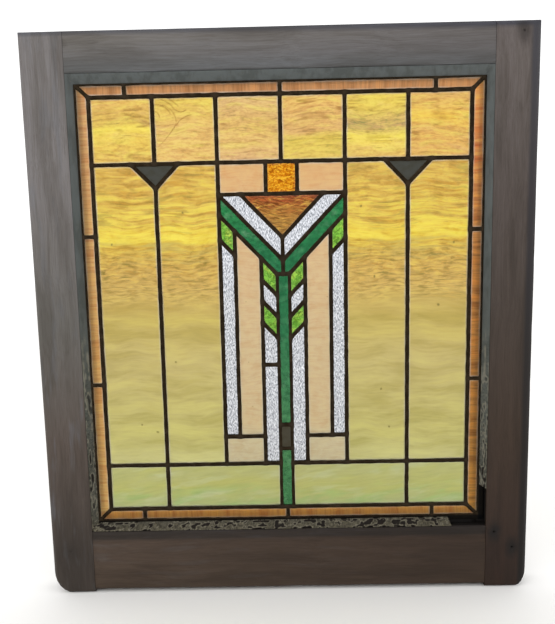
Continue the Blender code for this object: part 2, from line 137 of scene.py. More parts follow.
def layOver(tree, colour, vector, height, layers):
    # lays each layer of a list over a colour. A zone of (bottom, top, fade) in mm keeps one
    # between two heights. Gives the colour and the height of each pattern
    patterns = []
    for layer in layers:
        layer = {**layerFacts, **layer}
        sized = addNode(tree, "Mapping", {"Rotation": (0.0, layer["turn"], 0.0),
                                          "Scale": [size / 1000 for size in layer["mm"]]},
                        {"Vector": vector}, vector_type="TEXTURE")
        noise = addNode(tree, "TexNoise", {"Scale": 1.0, "Detail": layer["detail"],
                                           "Roughness": layer["roughness"],
                                           "Distortion": layer["swirl"]},
                        {"Vector": sized.outputs[0]}).outputs["Fac"]
        patterns.append(noise)
        ramps = []
        if "zone" in layer:
            bottom, top, fade = (mm / 1000 for mm in layer["zone"])
            ramps += [(height, bottom - fade, bottom + fade, 0.0, layer["share"]),
                      (height, top - fade, top + fade, 1.0, 0.0)]
        if "colour" in layer:
            ramps.append((noise, layer["low"], layer["high"], 0.0, layer["share"]))
            laid = addNode(tree, "Mix", {7: hexToLinear(layer["colour"])}, {6: colour},
                           data_type="RGBA")
        else:
            shades = addNode(tree, "ValToRGB", links={0: noise},
                             stops=((layer["low"], layer["dark"]), (0.5, layer["evenGrey"]),
                                    (layer["high"], layer["light"])))
            laid = addNode(tree, "Mix", {0: layer["share"]}, {6: colour, 7: shades.outputs[0]},
                           data_type="RGBA", blend_type="OVERLAY")
        reach = None
        for value, low, high, before, after in ramps:
            ramp = addNode(tree, "MapRange", {"From Min": low, "From Max": high,
                                              "To Min": before, "To Max": after},
                           {"Value": value}, interpolation_type="SMOOTHSTEP").outputs[0]
            reach = ramp if reach is None else addNode(
                tree, "Math", links={0: reach, 1: ramp}, operation="MULTIPLY").outputs[0]
        if reach is not None:
            tree.links.new(reach, laid.inputs[0])
        colour = laid.outputs[2]
    return colour, patterns


# primes, mask and shifts of the hash that softNoise draws its values from
hashFacts = {"primes": (374761393, 668265263, 1440662683), "mixer": 1274126177,
             "mask": 0xffffffff, "half": 32767.5, "seedStep": 97, "seedShift": 17.31}


def softNoise(points, sizes, seed):
    # smooth noise from -1 to 1, with lumps of the given sizes in mm, the same at each run
    facts = hashFacts
    cells = points * np.array(perMetre(*sizes)) + seed * facts["seedShift"]
    base = np.floor(cells).astype(np.int64)
    part = cells - base
    part = part * part * (3 - 2 * part)
    total = np.zeros(len(points))
    for corner in range(8):
        step = np.array([corner >> axis & 1 for axis in range(3)])
        mixed = (base + step) @ np.array(facts["primes"]) + seed * facts["seedStep"]
        mixed &= facts["mask"]
        mixed = ((mixed ^ (mixed >> 13)) * facts["mixer"]) & facts["mask"]
        value = ((mixed ^ (mixed >> 16)) & 0xffff) / facts["half"] - 1
        total += value * np.prod(np.where(step, part, 1 - part), axis=1)
    return total


def softShare(points, sizes, seed):
    # the same noise from 0 to 1
    return (softNoise(points, sizes, seed) + 1) / 2


def meshPoints(mesh, kind="co"):
    # vertex places or normals as one array
    values = np.zeros(len(mesh.vertices) * 3)
    mesh.vertices.foreach_get(kind, values)
    return values.reshape(-1, 3)


def setPoints(mesh, points):
    mesh.vertices.foreach_set("co", points.ravel())
    mesh.update()


def markPoints(mesh, name, values):
    # a value at each vertex that a material reads by its name
    mark = mesh.attributes.new(name, "FLOAT", "POINT")
    mark.data.foreach_set("value", values)


def finishSkin(skin, name):
    mesh = bpy.data.meshes.new(name)
    skin.to_mesh(mesh)
    skin.free()
    return mesh


def pieceName(node):
    first, *rest = node.split("_")
    return first + "".join(word.capitalize() for word in rest)


def addPiece(node, mesh, materials, sharp):
    # the finished piece that stands for a solid and rides where it does
    mesh.shade_smooth()
    mesh.set_sharp_from_angle(angle=math.radians(sharp))
    mesh.materials.clear()
    for material in materials:
        mesh.materials.append(material)
    piece = bpy.data.objects.new(pieceName(node), mesh)
    bpy.context.scene.collection.objects.link(piece)
    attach(piece, "root")
    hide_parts(node)


# Stained fir: planed softwood, brown oil stain, dull under a thin old shellac. The eye gets a
# quiet fine grain, a dry low sheen, and a cool painted sheen that greys the upper half and the
# left.

woodFacts = {
    # stain by height, left and right, of boards that run upright (z) and level (x); lighter and
    # greyer upwards and on the left as painted sheen
    "levels": {
        # the last few mm at the top are darker: painted shade on the rounded top edge
        "z": (((50, "#37302b"), (200, "#483f39"), (350, "#575450"), (500, "#676362"),
               (690, "#676362"), (693, "#4b4a4e"), (697, "#47464b")),
              ((50, "#281a12"), (200, "#33271e"), (350, "#3a312b"), (500, "#463e3a"),
               (650, "#58514e"), (688, "#57504e"), (692, "#3a3940"), (697, "#38373e"))),
        # on the level boards 70 to 79 mm is darker: painted shade in the rebate above the bottom
        # rail's sight edge
        "x": (((20, "#42362c"), (67, "#42362d"), (70, "#2f2823"), (79, "#2c2622"),
               (654, "#58595a"), (668, "#5e5c5b"), (690, "#65615d"), (693, "#474649"),
               (697, "#434246")),
              ((20, "#31251c"), (67, "#31241b"), (70, "#211a15"), (79, "#1e1713"),
               (654, "#505051"), (668, "#555252"), (687, "#585453"), (691, "#38383f"),
               (697, "#35353c"))),
    },
    "leftMm": -270.0, "rightMm": 270.0, "bendsPerMetre": 9.0, "bendMm": 12.0,
    # yearly rings, open pores and clouds of stain: mm across and along the grain, and tones
    "grain": ((1.7, 150.0, "#b5b4b2", "#c1c1c0"), (0.6, 22.0, "#b1afad", "#bebebe"),
              (17.0, 150.0, "#abaaa8", "#c6c7c9")),
    # painted sheen: a grey haze along the grain on the left, its lumps in mm across and along
    "bloomMm": (11.0, 80.0), "bloom": "#595b60", "bloomFrom": 0.52, "bloomTo": 0.68,
    "bloomShare": {"z": 0.33, "x": 0.12},
    # painted shade on the rebate's floor, between these depths
    "rebateDark": "#151210", "rebateFromMm": -16.5, "rebateToMm": -12.5,
    # painted shade on the right stile's rounded outer edge: near black, lighter upwards, less at
    # the back
    "grime": ((40, "#0e0c0b"), (300, "#191717"), (500, "#2a282c"), (660, "#35353b")),
    "grimeFromMm": 291.0, "grimeToMm": 297.0, "grimeShare": 0.85, "grimeAtBack": 0.2,
    # nail holes: x and z in metres, and how dark the stain is
    "nails": ((0.2628, 0.0715, 0.9), (0.2863, 0.0507, 0.9), (0.2848, 0.6843, 0.5),
              (-0.2811, 0.0535, 0.25)),
    "nailStain": "#100c0a", "nailHoleMm": 1.5, "nailStainMm": 13.0,
    "nailSquash": (1.0, 0.3, 0.6), "frayMm": 7.0, "frayAcrossMm": 6.0, "frayRunMm": 9.0,
    "smooth": 0.52, "dull": 0.72, "specular": 0.22,
    "ringBump": {"Strength": 0.2, "Distance": 0.0003},
    "poreBump": {"Strength": 0.2, "Distance": 0.0002},
}


def stainedFir(name, along):
    facts = woodFacts

    def alongGrain(acrossMm, runMm):
        return (acrossMm, acrossMm, runMm) if along == "z" else (runMm, acrossMm, acrossMm)

    material, tree, shader, coord = newMaterial(name, {"Specular IOR Level": facts["specular"]})
    place = addNode(tree, "SeparateXYZ", links={0: coord})
    height = place.outputs["Z"]
    bend = addNode(tree, "TexNoise", {"Scale": facts["bendsPerMetre"], "Detail": 1.0},
                   {"Vector": coord})
    bent = addNode(tree, "VectorMath", {1: [facts["bendMm"] / 1000] * 3},
                   {0: bend.outputs["Color"], 2: coord}, operation="MULTIPLY_ADD").outputs[0]
    left, right = (colourByHeight(tree, height, levels) for levels in facts["levels"][along])
    # painted sheen: a grey haze smeared along the grain, on the left only
    bloom = patches(alongGrain(*facts["bloomMm"]), facts["bloom"], facts["bloomFrom"],
                    facts["bloomTo"], share=facts["bloomShare"][along])
    left = layOver(tree, left, bent, height, [bloom])[0]
    # the left and right stains blend across the sash, so the painted sheen on the left fades to the
    # right
    side = addNode(tree, "MapRange", {"From Min": facts["leftMm"] / 1000,
                                      "From Max": facts["rightMm"] / 1000},
                   {"Value": place.outputs["X"]})
    stain = addNode(tree, "Mix", links={0: side.outputs[0], 6: left, 7: right},
                    data_type="RGBA")
    grain = [tones(alongGrain(across, run), dark, light)
             for across, run, dark, light in facts["grain"]]
    colour, (rings, pores, clouds) = layOver(tree, stain.outputs[2], bent, height, grain)
    # painted shade on the rebate's floor behind the bead, only within the opening
    depth = addNode(tree, "MapRange", {"From Min": facts["rebateFromMm"] / 1000,
                                       "From Max": facts["rebateToMm"] / 1000},
                    {"Value": place.outputs["Y"]}).outputs[0]
    wide = addNode(tree, "Math", links={0: place.outputs["X"]}, operation="ABSOLUTE")
    inside = addNode(tree, "Math", {1: sightHigh.x + touching}, {0: wide.outputs[0]},
                     operation="LESS_THAN").outputs[0]
    tall = addNode(tree, "Math", {1: (sightLow.z + sightHigh.z) / 2,
                                  2: (sightHigh.z - sightLow.z) / 2 + touching},
                   {0: height}, operation="COMPARE").outputs[0]
    # painted shade on the right stile's rounded outer edge, near black, less so at the back
    edgeShadeReach = addNode(tree, "MapRange", {"From Min": facts["grimeFromMm"] / 1000,
                                      "From Max": facts["grimeToMm"] / 1000,
                                      "To Max": facts["grimeShare"]},
                   {"Value": place.outputs["X"]}, interpolation_type="SMOOTHSTEP").outputs[0]
    frontShare = addNode(tree, "MapRange", {"From Min": cadLow.y, "From Max": cadHigh.y,
                                         "To Min": 1.0, "To Max": facts["grimeAtBack"]},
                      {"Value": place.outputs["Y"]}, interpolation_type="SMOOTHSTEP").outputs[0]
    reaches = []
    for reach, *masks in ((inside, tall, depth), (edgeShadeReach, frontShare)):
        for mask in masks:
            reach = addNode(tree, "Math", links={0: reach, 1: mask},
                            operation="MULTIPLY").outputs[0]
        reaches.append(reach)
    colour = addNode(tree, "Mix", {7: hexToLinear(facts["rebateDark"])},
                     {0: reaches[0], 6: colour}, data_type="RGBA").outputs[2]
    grime = colourByHeight(tree, height, facts["grime"])
    colour = addNode(tree, "Mix", links={0: reaches[1], 6: colour, 7: grime},
                     data_type="RGBA").outputs[2]
    # iron stain that bled along the grain round each nail hole
    across, run = facts["frayAcrossMm"] / 1000, facts["frayRunMm"] / 1000
    ragged = addNode(tree, "TexNoise", {"Scale": 1000 / facts["frayMm"], "Detail": 3.0},
                     {"Vector": coord})
    frayed = addNode(tree, "VectorMath", {1: (across, 0.0, run)},
                     {0: ragged.outputs["Color"], 2: coord}, operation="MULTIPLY_ADD")
    squash = Vector(facts["nailSquash"])
    flat = addNode(tree, "VectorMath", {1: squash}, {0: frayed.outputs[0]},
                   operation="MULTIPLY")
    for x, z, strength in facts["nails"]:
        middle = Vector((x + across / 2, cadLow.y, z + run / 2)) * squash
        near = addNode(tree, "VectorMath", {1: middle}, {0: flat.outputs[0]},
                       operation="DISTANCE")
        fade = addNode(tree, "MapRange", {"From Min": facts["nailHoleMm"] / 1000,
                                          "From Max": facts["nailStainMm"] / 1000,
                                          "To Min": strength, "To Max": 0.0},
                       {"Value": near.outputs["Value"]}, interpolation_type="SMOOTHSTEP")
        colour = addNode(tree, "Mix", {7: hexToLinear(facts["nailStain"])},
                         {0: fade.outputs[0], 6: colour}, data_type="RGBA").outputs[2]
    tree.links.new(colour, shader.inputs["Base Color"])
    sheen = addNode(tree, "MapRange", {"To Min": facts["smooth"], "To Max": facts["dull"]},
                    {"Value": clouds})
    tree.links.new(sheen.outputs[0], shader.inputs["Roughness"])
    normal = None
    for pattern, bump in ((rings, facts["ringBump"]), (pores, facts["poreBump"])):
        links = {"Height": pattern} if normal is None else {"Height": pattern, "Normal": normal}
        normal = addNode(tree, "Bump", bump, links).outputs[0]
    tree.links.new(normal, shader.inputs["Normal"])
    return material


# Sash members

boardFacts = {
    "acrossMm": 3.0, "runMm": 9.0, "deepMm": 4.0, "arrisMm": 1.3, "arrisAngle": 0.8,
    # wear: the size of its lumps in mm and how deep it goes
    "wave": (70, 70, 70), "waveMm": 0.35,
    "furrow": {"z": (6, 6, 120), "x": (120, 6, 6)}, "furrowMm": 0.10,
    "knock": (14, 14, 22), "knockMm": 0.7, "knockFrom": 0.62,
    "rub": (24, 24, 24), "rubMm": 0.9, "rubFlat": 0.95, "rubCorner": 0.75,
    "jointWear": 0.1, "nailRadiusMm": 1.7, "nailDepthMm": 3.5, "nailTaper": 2.5,
    "nailFaceMm": 3.0, "nailRings": (-1.0, -0.5, 0.0, 0.5, 1.0), "sharpAngle": 50,
    "boards": {"stile_left": "z", "stile_right": "z", "rail_top": "x", "rail_bottom": "x"},
}


def isArris(edge):
    # an edge that hands and weather reach: the sash's outer corners and the sight edge
    if len(edge.link_faces) != 2 or edge.calc_face_angle(0) < boardFacts["arrisAngle"]:
        return False
    start, end = (vert.co for vert in edge.verts)
    span = min(abs(start.x), abs(end.x)) > cadHigh.x - touching
    ends = any(max(abs(start.z - level), abs(end.z - level)) < touching
               for level in (cadLow.z, cadHigh.z, sightLow.z, sightHigh.z))
    sight = all(abs(abs(point.x) - sightHigh.x) < touching for point in (start, end))
    return span or ends or sight


def cutAt(skin, normal, places):
    # cuts every face along planes through the given points
    for place in places:
        everything = skin.verts[:] + skin.edges[:] + skin.faces[:]
        bmesh.ops.bisect_plane(skin, geom=everything, plane_co=place, plane_no=normal)


def cutAcross(skin, axis, places):
    normal = Vector([float(i == axis) for i in range(3)])
    cutAt(skin, normal, [normal * place for place in places])


def evenCuts(skin, axis, low, high, stepMm):
    # cuts across one axis that leave equal widths of about the given one
    span = high[axis] - low[axis]
    count = max(1, round(span * 1000 / stepMm))
    cutAcross(skin, axis, [low[axis] + span * i / count for i in range(1, count)])


def wornSkin(node, along):
    # the solid's own shape with eased arrises, cut into small faces that can be worn
    facts = boardFacts
    skin = bmesh.new()
    skin.from_mesh(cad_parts[node].data)
    bmesh.ops.remove_doubles(skin, verts=skin.verts, dist=1e-5)
    bmesh.ops.dissolve_limit(skin, angle_limit=0.02, verts=skin.verts, edges=skin.edges)
    arrises = [edge for edge in skin.edges if isArris(edge)]
    bmesh.ops.bevel(skin, geom=arrises, offset=facts["arrisMm"] / 1000, segments=2,
                    profile=0.5, affect="EDGES", clamp_overlap=True)
    low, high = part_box(node)
    steps = [facts["acrossMm"], facts["deepMm"], facts["runMm"]]
    if along == "x":
        steps.reverse()
    rings = [facts["nailRadiusMm"] / 1000 * share for share in facts["nailRings"]]
    nails = [(x, z) for x, z, strength in woodFacts["nails"]
             if low.x < x < high.x and low.z < z < high.z]
    for axis, step in ((0, steps[0]), (2, steps[2]), (1, steps[1])):
        evenCuts(skin, axis, low, high, step)
        if axis != 1:
            cutAcross(skin, axis, [nail[axis // 2] + ring for nail in nails for ring in rings])
    return finishSkin(skin, pieceName(node))


def wearBoard(mesh, along):
    # planing waves, raised grain and old knocks, all cut inwards from the solid's faces
    facts = boardFacts
    points, normals = meshPoints(mesh), meshPoints(mesh, "normal")
    wave = softShare(points, facts["wave"], 1) * facts["waveMm"]
    furrow = softShare(points, facts["furrow"][along], 2) * facts["furrowMm"]
    hard = facts["knockFrom"]
    knock = np.clip(softNoise(points, facts["knock"], 3) - hard, 0, 1) / (1 - hard)
    corner = ((facts["rubFlat"] - np.abs(normals).max(axis=1))
              / (facts["rubFlat"] - facts["rubCorner"]))
    rub = softShare(points, facts["rub"], 4) * facts["rubMm"] * np.clip(corner, 0, 1)
    low, high = points.min(axis=0), points.max(axis=0)
    # the faces where two boards meet stay tight
    inwards = (along == "x") | (normals[:, 0] * points[:, 0] < 0)
    tight = np.where(inwards & (np.abs(normals[:, 0]) > 0.5), facts["jointWear"], 1.0)
    wear = (wave + furrow + knock * facts["knockMm"] + rub) / 1000 * tight
    points -= normals * wear[:, None]
    front = points[:, 1] < cadLow.y + facts["nailFaceMm"] / 1000
    for x, z, strength in woodFacts["nails"]:
        # small conical holes where old nails were drawn
        away = np.hypot(points[:, 0] - x, points[:, 2] - z) * 1000 / facts["nailRadiusMm"]
        hole = np.clip(1 - away ** facts["nailTaper"], 0, 1) * front
        points[:, 1] += hole * strength * facts["nailDepthMm"] / 1000
    setPoints(mesh, np.clip(points, low, high))


firs = {"z": stainedFir("stainedFirUpright", "z"), "x": stainedFir("stainedFirLevel", "x")}
for board, along in boardFacts["boards"].items():
    skinMesh = wornSkin(board, along)
    wearBoard(skinMesh, along)
    addPiece(board, skinMesh, [firs[along]], boardFacts["sharpAngle"])
    print(board, "worn:", len(skinMesh.polygons), "faces")


# Outlines of the panes, read from their solids

cameFacts = {
    "faceMm": 4.8, "stemFaceMm": 4.0, "heartMm": 1.6, "rimFaceMm": 8.0, "rimHeartMm": 3.0,
    "clearMm": 0.3, "rimReachMm": 4.0, "stemFromMm": 4.0, "stemToMm": 9.0,
    "crownMm": 0.55, "crownShares": (0.0, 0.3, 0.6, 0.82, 0.95, 1.0), "crownPower": 2.4,
    "lipMm": 0.35, "stepMm": 3.0, "skinMm": 0.8,
    "wobble": (22, 22, 22), "wobbleMm": 0.25, "ragged": (7, 7, 7), "edgeWanderMm": 0.35,
    "dentMm": 0.08, "solderInsetMm": 6.0, "solderMm": 4.6, "solderLeast": 0.85,
    "solderMore": 0.3, "solderTurn": 2.4, "solderRiseMm": 0.35, "solderSpreadMm": 0.9,
    "lumps": (3, 3, 3), "lumpShare": 0.25, "tinGain": 1.3, "sharpAngle": 35,
}
facesMm = {"rim": cameFacts["rimFaceMm"], "stem": cameFacts["stemFaceMm"] / 2,
           "came": cameFacts["faceMm"] / 2, "mitre": cameFacts["faceMm"] / 2}
heartsMm = {"rim": cameFacts["rimHeartMm"], "stem": cameFacts["heartMm"] / 2,
            "came": cameFacts["heartMm"] / 2, "mitre": 0.0}


def frontOutline(node):
    # corners of a pane's front face in order, anticlockwise seen from the front
    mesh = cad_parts[node].data
    front = min(vert.co.y for vert in mesh.vertices)
    ways = set()
    for face in mesh.polygons:
        corners = [mesh.vertices[i].co for i in face.vertices]
        if max(corner.y for corner in corners) < front + 1e-5:
            keys = [(round(corner.x, 5), round(corner.z, 5)) for corner in corners]
            ways.update(zip(keys, keys[1:] + keys[:1]))
    following = {start: end for start, end in ways if (end, start) not in ways}
    start = min(following)
    outline = [start]
    while following[outline[-1]] != start:
        outline.append(following[outline[-1]])
    return [Vector(point) for point in outline]


def outlineSides(outline):
    return zip(outline, outline[1:] + outline[:1])


def moveSides(outline, distances):
    # the outline with each side moved inwards by its own distance
    sides = []
    for (start, end), distance in zip(outlineSides(outline), distances):
        way = (end - start).normalized()
        sides.append((start + distance * Vector((-way.y, way.x)), way))
    corners = []
    for (first, wayIn), (second, wayOut) in zip(sides[-1:] + sides[:-1], sides):
        step = (second - first).cross(wayOut) / wayIn.cross(wayOut)
        corners.append(first + step * wayIn)
    return corners


def sideKind(start, end):
    # what holds a pane's side: the rim came, a thin stem came or an ordinary one
    limits = ((start.x, end.x, leadLow.x), (start.x, end.x, leadHigh.x),
              (start.y, end.y, leadLow.z), (start.y, end.y, leadHigh.z))
    reach = cameFacts["rimReachMm"] / 1000
    if any(max(abs(a - limit), abs(b - limit)) < reach for a, b, limit in limits):
        return "rim"
    fromMiddle = abs(start.x) * 1000
    upright = abs(start.x - end.x) < tiny
    if upright and cameFacts["stemFromMm"] < fromMiddle < cameFacts["stemToMm"]:
        return "stem"
    return "came"


def isReflex(outline, i):
    before = outline[i] - outline[i - 1]
    after = outline[(i + 1) % len(outline)] - outline[i]
    return before.cross(after) < 0


def paneCells(outline):
    # the pane's outline out to the middle of its cames or the panel's edge, with the kind
    # of each side; an L-shaped corner is two cells that a mitre came parts
    kinds = [sideKind(start, end) for start, end in outlineSides(outline)]
    cell = moveSides(outline, [-(heartsMm[k] + cameFacts["clearMm"]) / 1000 for k in kinds])
    count = len(outline)
    if count != 6 or "rim" not in kinds:
        return [(cell, kinds)]
    inner = next(i for i in range(count) if isReflex(cell, i))
    halves = []
    for first in (inner, inner + 3):
        picks = [(first + i) % count for i in range(4)]
        halves.append(([cell[i] for i in picks], [kinds[i] for i in picks[:3]] + ["mitre"]))
    return halves


glassNodes = sorted(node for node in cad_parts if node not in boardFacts["boards"]
                    and node not in ("lead_cames", "glazing_putty"))
outlines = {node: frontOutline(node) for node in glassNodes}
cells = [cell for node in glassNodes for cell in paneCells(outlines[node])]
print("pane outlines read:", len(outlines))


# Lead cames: milled lead strip with a low crown, soldered at each crossing, its bright skin
# long gone to a dark oxide. The eye gets near-black lines with a faint soft gleam, a little
# lighter where a joint was tinned, and blacker along the rim at the right and the bottom.

oxideFacts = {
    "blotchMm": 6.0, "oxide": ((0.3, "#211a12"), (0.55, "#2b2319"), (0.75, "#3a3126")),
    "tin": "#352d24", "oil": "#0c0d0e", "oilFromMm": 5.0, "oilToMm": 7.5, "oilShare": 0.85,
    "smooth": 0.42, "dull": 0.6, "gritMm": 1.1,
    "gritBump": {"Strength": 0.3, "Distance": 0.0003},
}


def oxidisedLead():
    facts = oxideFacts
    material, tree, shader, coord = newMaterial("oxidisedLead", {"Metallic": 1.0})
    solder = addNode(tree, "Attribute", attribute_name="solder").outputs["Fac"]
    blotch = addNode(tree, "TexNoise", {"Scale": 1000 / facts["blotchMm"], "Detail": 4.0},
                     {"Vector": coord}).outputs["Fac"]
    oxide = addNode(tree, "ValToRGB", links={0: blotch}, stops=facts["oxide"])
    colour = addNode(tree, "Mix", {7: hexToLinear(facts["tin"])},
                     {0: solder, 6: oxide.outputs[0]}, data_type="RGBA").outputs[2]
    place = addNode(tree, "SeparateXYZ", links={0: coord})
    for axis, edge in (("X", leadHigh.x), ("Z", leadLow.z)):
        # the rim came is darker near its right and its bottom edge
        away = addNode(tree, "Math", {1: edge}, {0: place.outputs[axis]}, operation="SUBTRACT")
        far = addNode(tree, "Math", links={0: away.outputs[0]}, operation="ABSOLUTE")
        oil = addNode(tree, "MapRange", {"From Min": facts["oilFromMm"] / 1000,
                                         "From Max": facts["oilToMm"] / 1000,
                                         "To Min": facts["oilShare"], "To Max": 0.0},
                      {"Value": far.outputs[0]}, interpolation_type="SMOOTHSTEP")
        colour = addNode(tree, "Mix", {7: hexToLinear(facts["oil"])},
                         {0: oil.outputs[0], 6: colour}, data_type="RGBA").outputs[2]
    tree.links.new(colour, shader.inputs["Base Color"])
    rough = addNode(tree, "MapRange", {"To Min": facts["smooth"], "To Max": facts["dull"]},
                    {"Value": blotch})
    tree.links.new(rough.outputs[0], shader.inputs["Roughness"])
    grit = addNode(tree, "TexNoise", {"Scale": 1000 / facts["gritMm"], "Detail": 3.0},
                   {"Vector": coord})
    bump = addNode(tree, "Bump", facts["gritBump"], {"Height": grit.outputs["Fac"]})
    tree.links.new(bump.outputs[0], shader.inputs["Normal"])
    return material


def cameRings():
    # the came's skin from its front middle line, round the lip into the channel, to its
    # back middle line: the share of the face, or "heart", and the depth
    crown, lip = cameFacts["crownMm"] / 1000, cameFacts["lipMm"] / 1000
    front, back = leadLow.y, leadHigh.y
    power = cameFacts["crownPower"]
    falls = [(share, crown * share ** power) for share in cameFacts["crownShares"]]
    channel = [(1.0, front + crown + lip), ("heart", front + crown + lip),
               ("heart", back - crown - lip), (1.0, back - crown - lip)]
    return ([(share, front + fall) for share, fall in falls] + channel
            + [(share, back - fall) for share, fall in reversed(falls)])


def ringDistances(share, kinds):
    # how far a ring of the came's skin lies from the middle line on each side of a cell
    if share == "heart":
        return [heartsMm[kind] / 1000 for kind in kinds]
    return [facesMm[kind] / 1000 * share for kind in kinds]


def onSide(point, start, end):
    # how far along a side a point lies, from 0 to 1, or nothing where it isn't on it
    way = end - start
    along = (point - start).dot(way) / way.length_squared
    away = (start + along * way - point).length
    return along if away < 5e-5 and 1e-4 < along < 1 - 1e-4 else None


def sideShares(start, end, corners):
    # places along a side, from 0 to 1, with one at every corner of another pane
    found = (onSide(corner, start, end) for corner in corners)
    stops = sorted({0.0, 1.0} | {round(share, 6) for share in found if share is not None})
    length = (end - start).length
    kept = [0.0] + [b for a, b in zip(stops, stops[1:]) if (b - a) * length > tiny]
    shares = []
    for a, b in zip(kept, kept[1:]):
        parts = max(1, round((b - a) * length * 1000 / cameFacts["stepMm"]))
        shares += [a + (b - a) * step / parts for step in range(parts)]
    return shares + [1.0]


def addStrip(skin, spread, depth, start, end, middles, shares):
    # one long row of the came's skin, whose points know their way out from the middle line
    strip = []
    for middle, share in zip(middles, shares):
        x, z = start.lerp(end, share)
        vert = skin.verts.new((x, depth, z))
        out = Vector((x - middle.x, 0.0, z - middle.y))
        vert[spread] = out.normalized() * min(1.0, out.length * 1000 / facesMm["came"])
        strip.append(vert)
    return strip


def makeLead():
    corners = [corner for cell, kinds in cells for corner in cell]
    skin = bmesh.new()
    spread = skin.verts.layers.float_vector.new("spread")
    rings = cameRings()
    heart = [share for share, depth in rings].index("heart")
    for cell, kinds in cells:
        layers = [moveSides(cell, ringDistances(share, kinds)) for share, depth in rings]
        for i, (start, end) in enumerate(outlineSides(cell)):
            following = (i + 1) % len(cell)
            shares = sideShares(start, end, corners)
            middles = [start.lerp(end, share) for share in shares]
            strips = [addStrip(skin, spread, depth, layer[i], layer[following], middles, shares)
                      for (share, depth), layer in zip(rings, layers)]
            pairs = list(zip(strips, strips[1:]))
            if kinds[i] == "mitre":
                # the two panes of a corner are one solid, so this came has no heart
                del pairs[heart]
            if kinds[i] == "rim":
                pairs.append((strips[-1], strips[0]))
            for near, far in pairs:
                for k in range(len(shares) - 1):
                    skin.faces.new((near[k], near[k + 1], far[k + 1], far[k]))
    bmesh.ops.remove_doubles(skin, verts=skin.verts, dist=2e-5)
    bmesh.ops.dissolve_degenerate(skin, edges=skin.edges, dist=2e-6)
    bmesh.ops.recalc_face_normals(skin, faces=skin.faces)
    return finishSkin(skin, "leadNetwork")


def solderPoints():
    # where cames cross; at the rim the solder sits on the came's inner half
    found = {}
    inset = cameFacts["solderInsetMm"] / 1000
    for cell, kinds in cells:
        for x, z in cell:
            if min(x - leadLow.x, leadHigh.x - x) < tiny:
                x -= math.copysign(inset, x)
            if z - leadLow.z < tiny:
                z += inset
            if leadHigh.z - z < tiny:
                z -= inset
            found[(round(x, 4), round(z, 4))] = (x, z)
    return [found[key] for key in sorted(found)]


def solderJoints(mesh):
    # a low uneven puddle over each crossing, and the slight wander of hand-bent lead
    facts = cameFacts
    points = meshPoints(mesh)
    spread = np.zeros(len(points) * 3)
    mesh.attributes["spread"].data.foreach_get("vector", spread)
    mesh.attributes.remove(mesh.attributes["spread"])
    puddle = np.zeros(len(points))
    for i, (x, z) in enumerate(solderPoints()):
        swell = facts["solderLeast"] + facts["solderMore"] * math.sin(i * facts["solderTurn"]) ** 2
        away = np.hypot(points[:, 0] - x, points[:, 2] - z) / (facts["solderMm"] / 1000 * swell)
        puddle = np.maximum(puddle, np.clip(1 - away ** 2, 0, 1))
    puddle *= 1 + (softNoise(points, facts["lumps"], 5) - 1) * facts["lumpShare"]
    middle = (leadLow.y + leadHigh.y) / 2
    half = (leadHigh.y - leadLow.y) / 2
    outer = np.abs(points[:, 1] - middle) > half - facts["skinMm"] / 1000
    face = np.where(points[:, 1] < middle, -1.0, 1.0) * outer
    wander = softNoise(points, facts["ragged"], 9) * facts["edgeWanderMm"]
    out = (puddle * facts["solderSpreadMm"] + wander) / 1000
    moved = points + spread.reshape(-1, 3) * out[:, None]
    for axis, seed in ((0, 6), (2, 7)):
        moved[:, axis] += softNoise(points, facts["wobble"], seed) * facts["wobbleMm"] / 1000
    dents = softNoise(points, facts["ragged"], 8) * facts["dentMm"]
    moved[:, 1] += face * (puddle * facts["solderRiseMm"] + dents) / 1000
    setPoints(mesh, moved)
    markPoints(mesh, "solder", np.clip(puddle * facts["tinGain"], 0, 1) * outer)


leadMesh = makeLead()
solderJoints(leadMesh)
addPiece("lead_cames", leadMesh, [oxidisedLead()], cameFacts["sharpAngle"])
print("lead cames soldered:", len(leadMesh.polygons), "faces")


# Putty: linseed oil and chalk, knifed into the rebate, then painted over with stain and
# dried out. The eye gets a smooth grey bevel along the top that turns to a dull crumbling
# bead lower down, with pale broken rims round holes along the bottom that painted shade darkens.

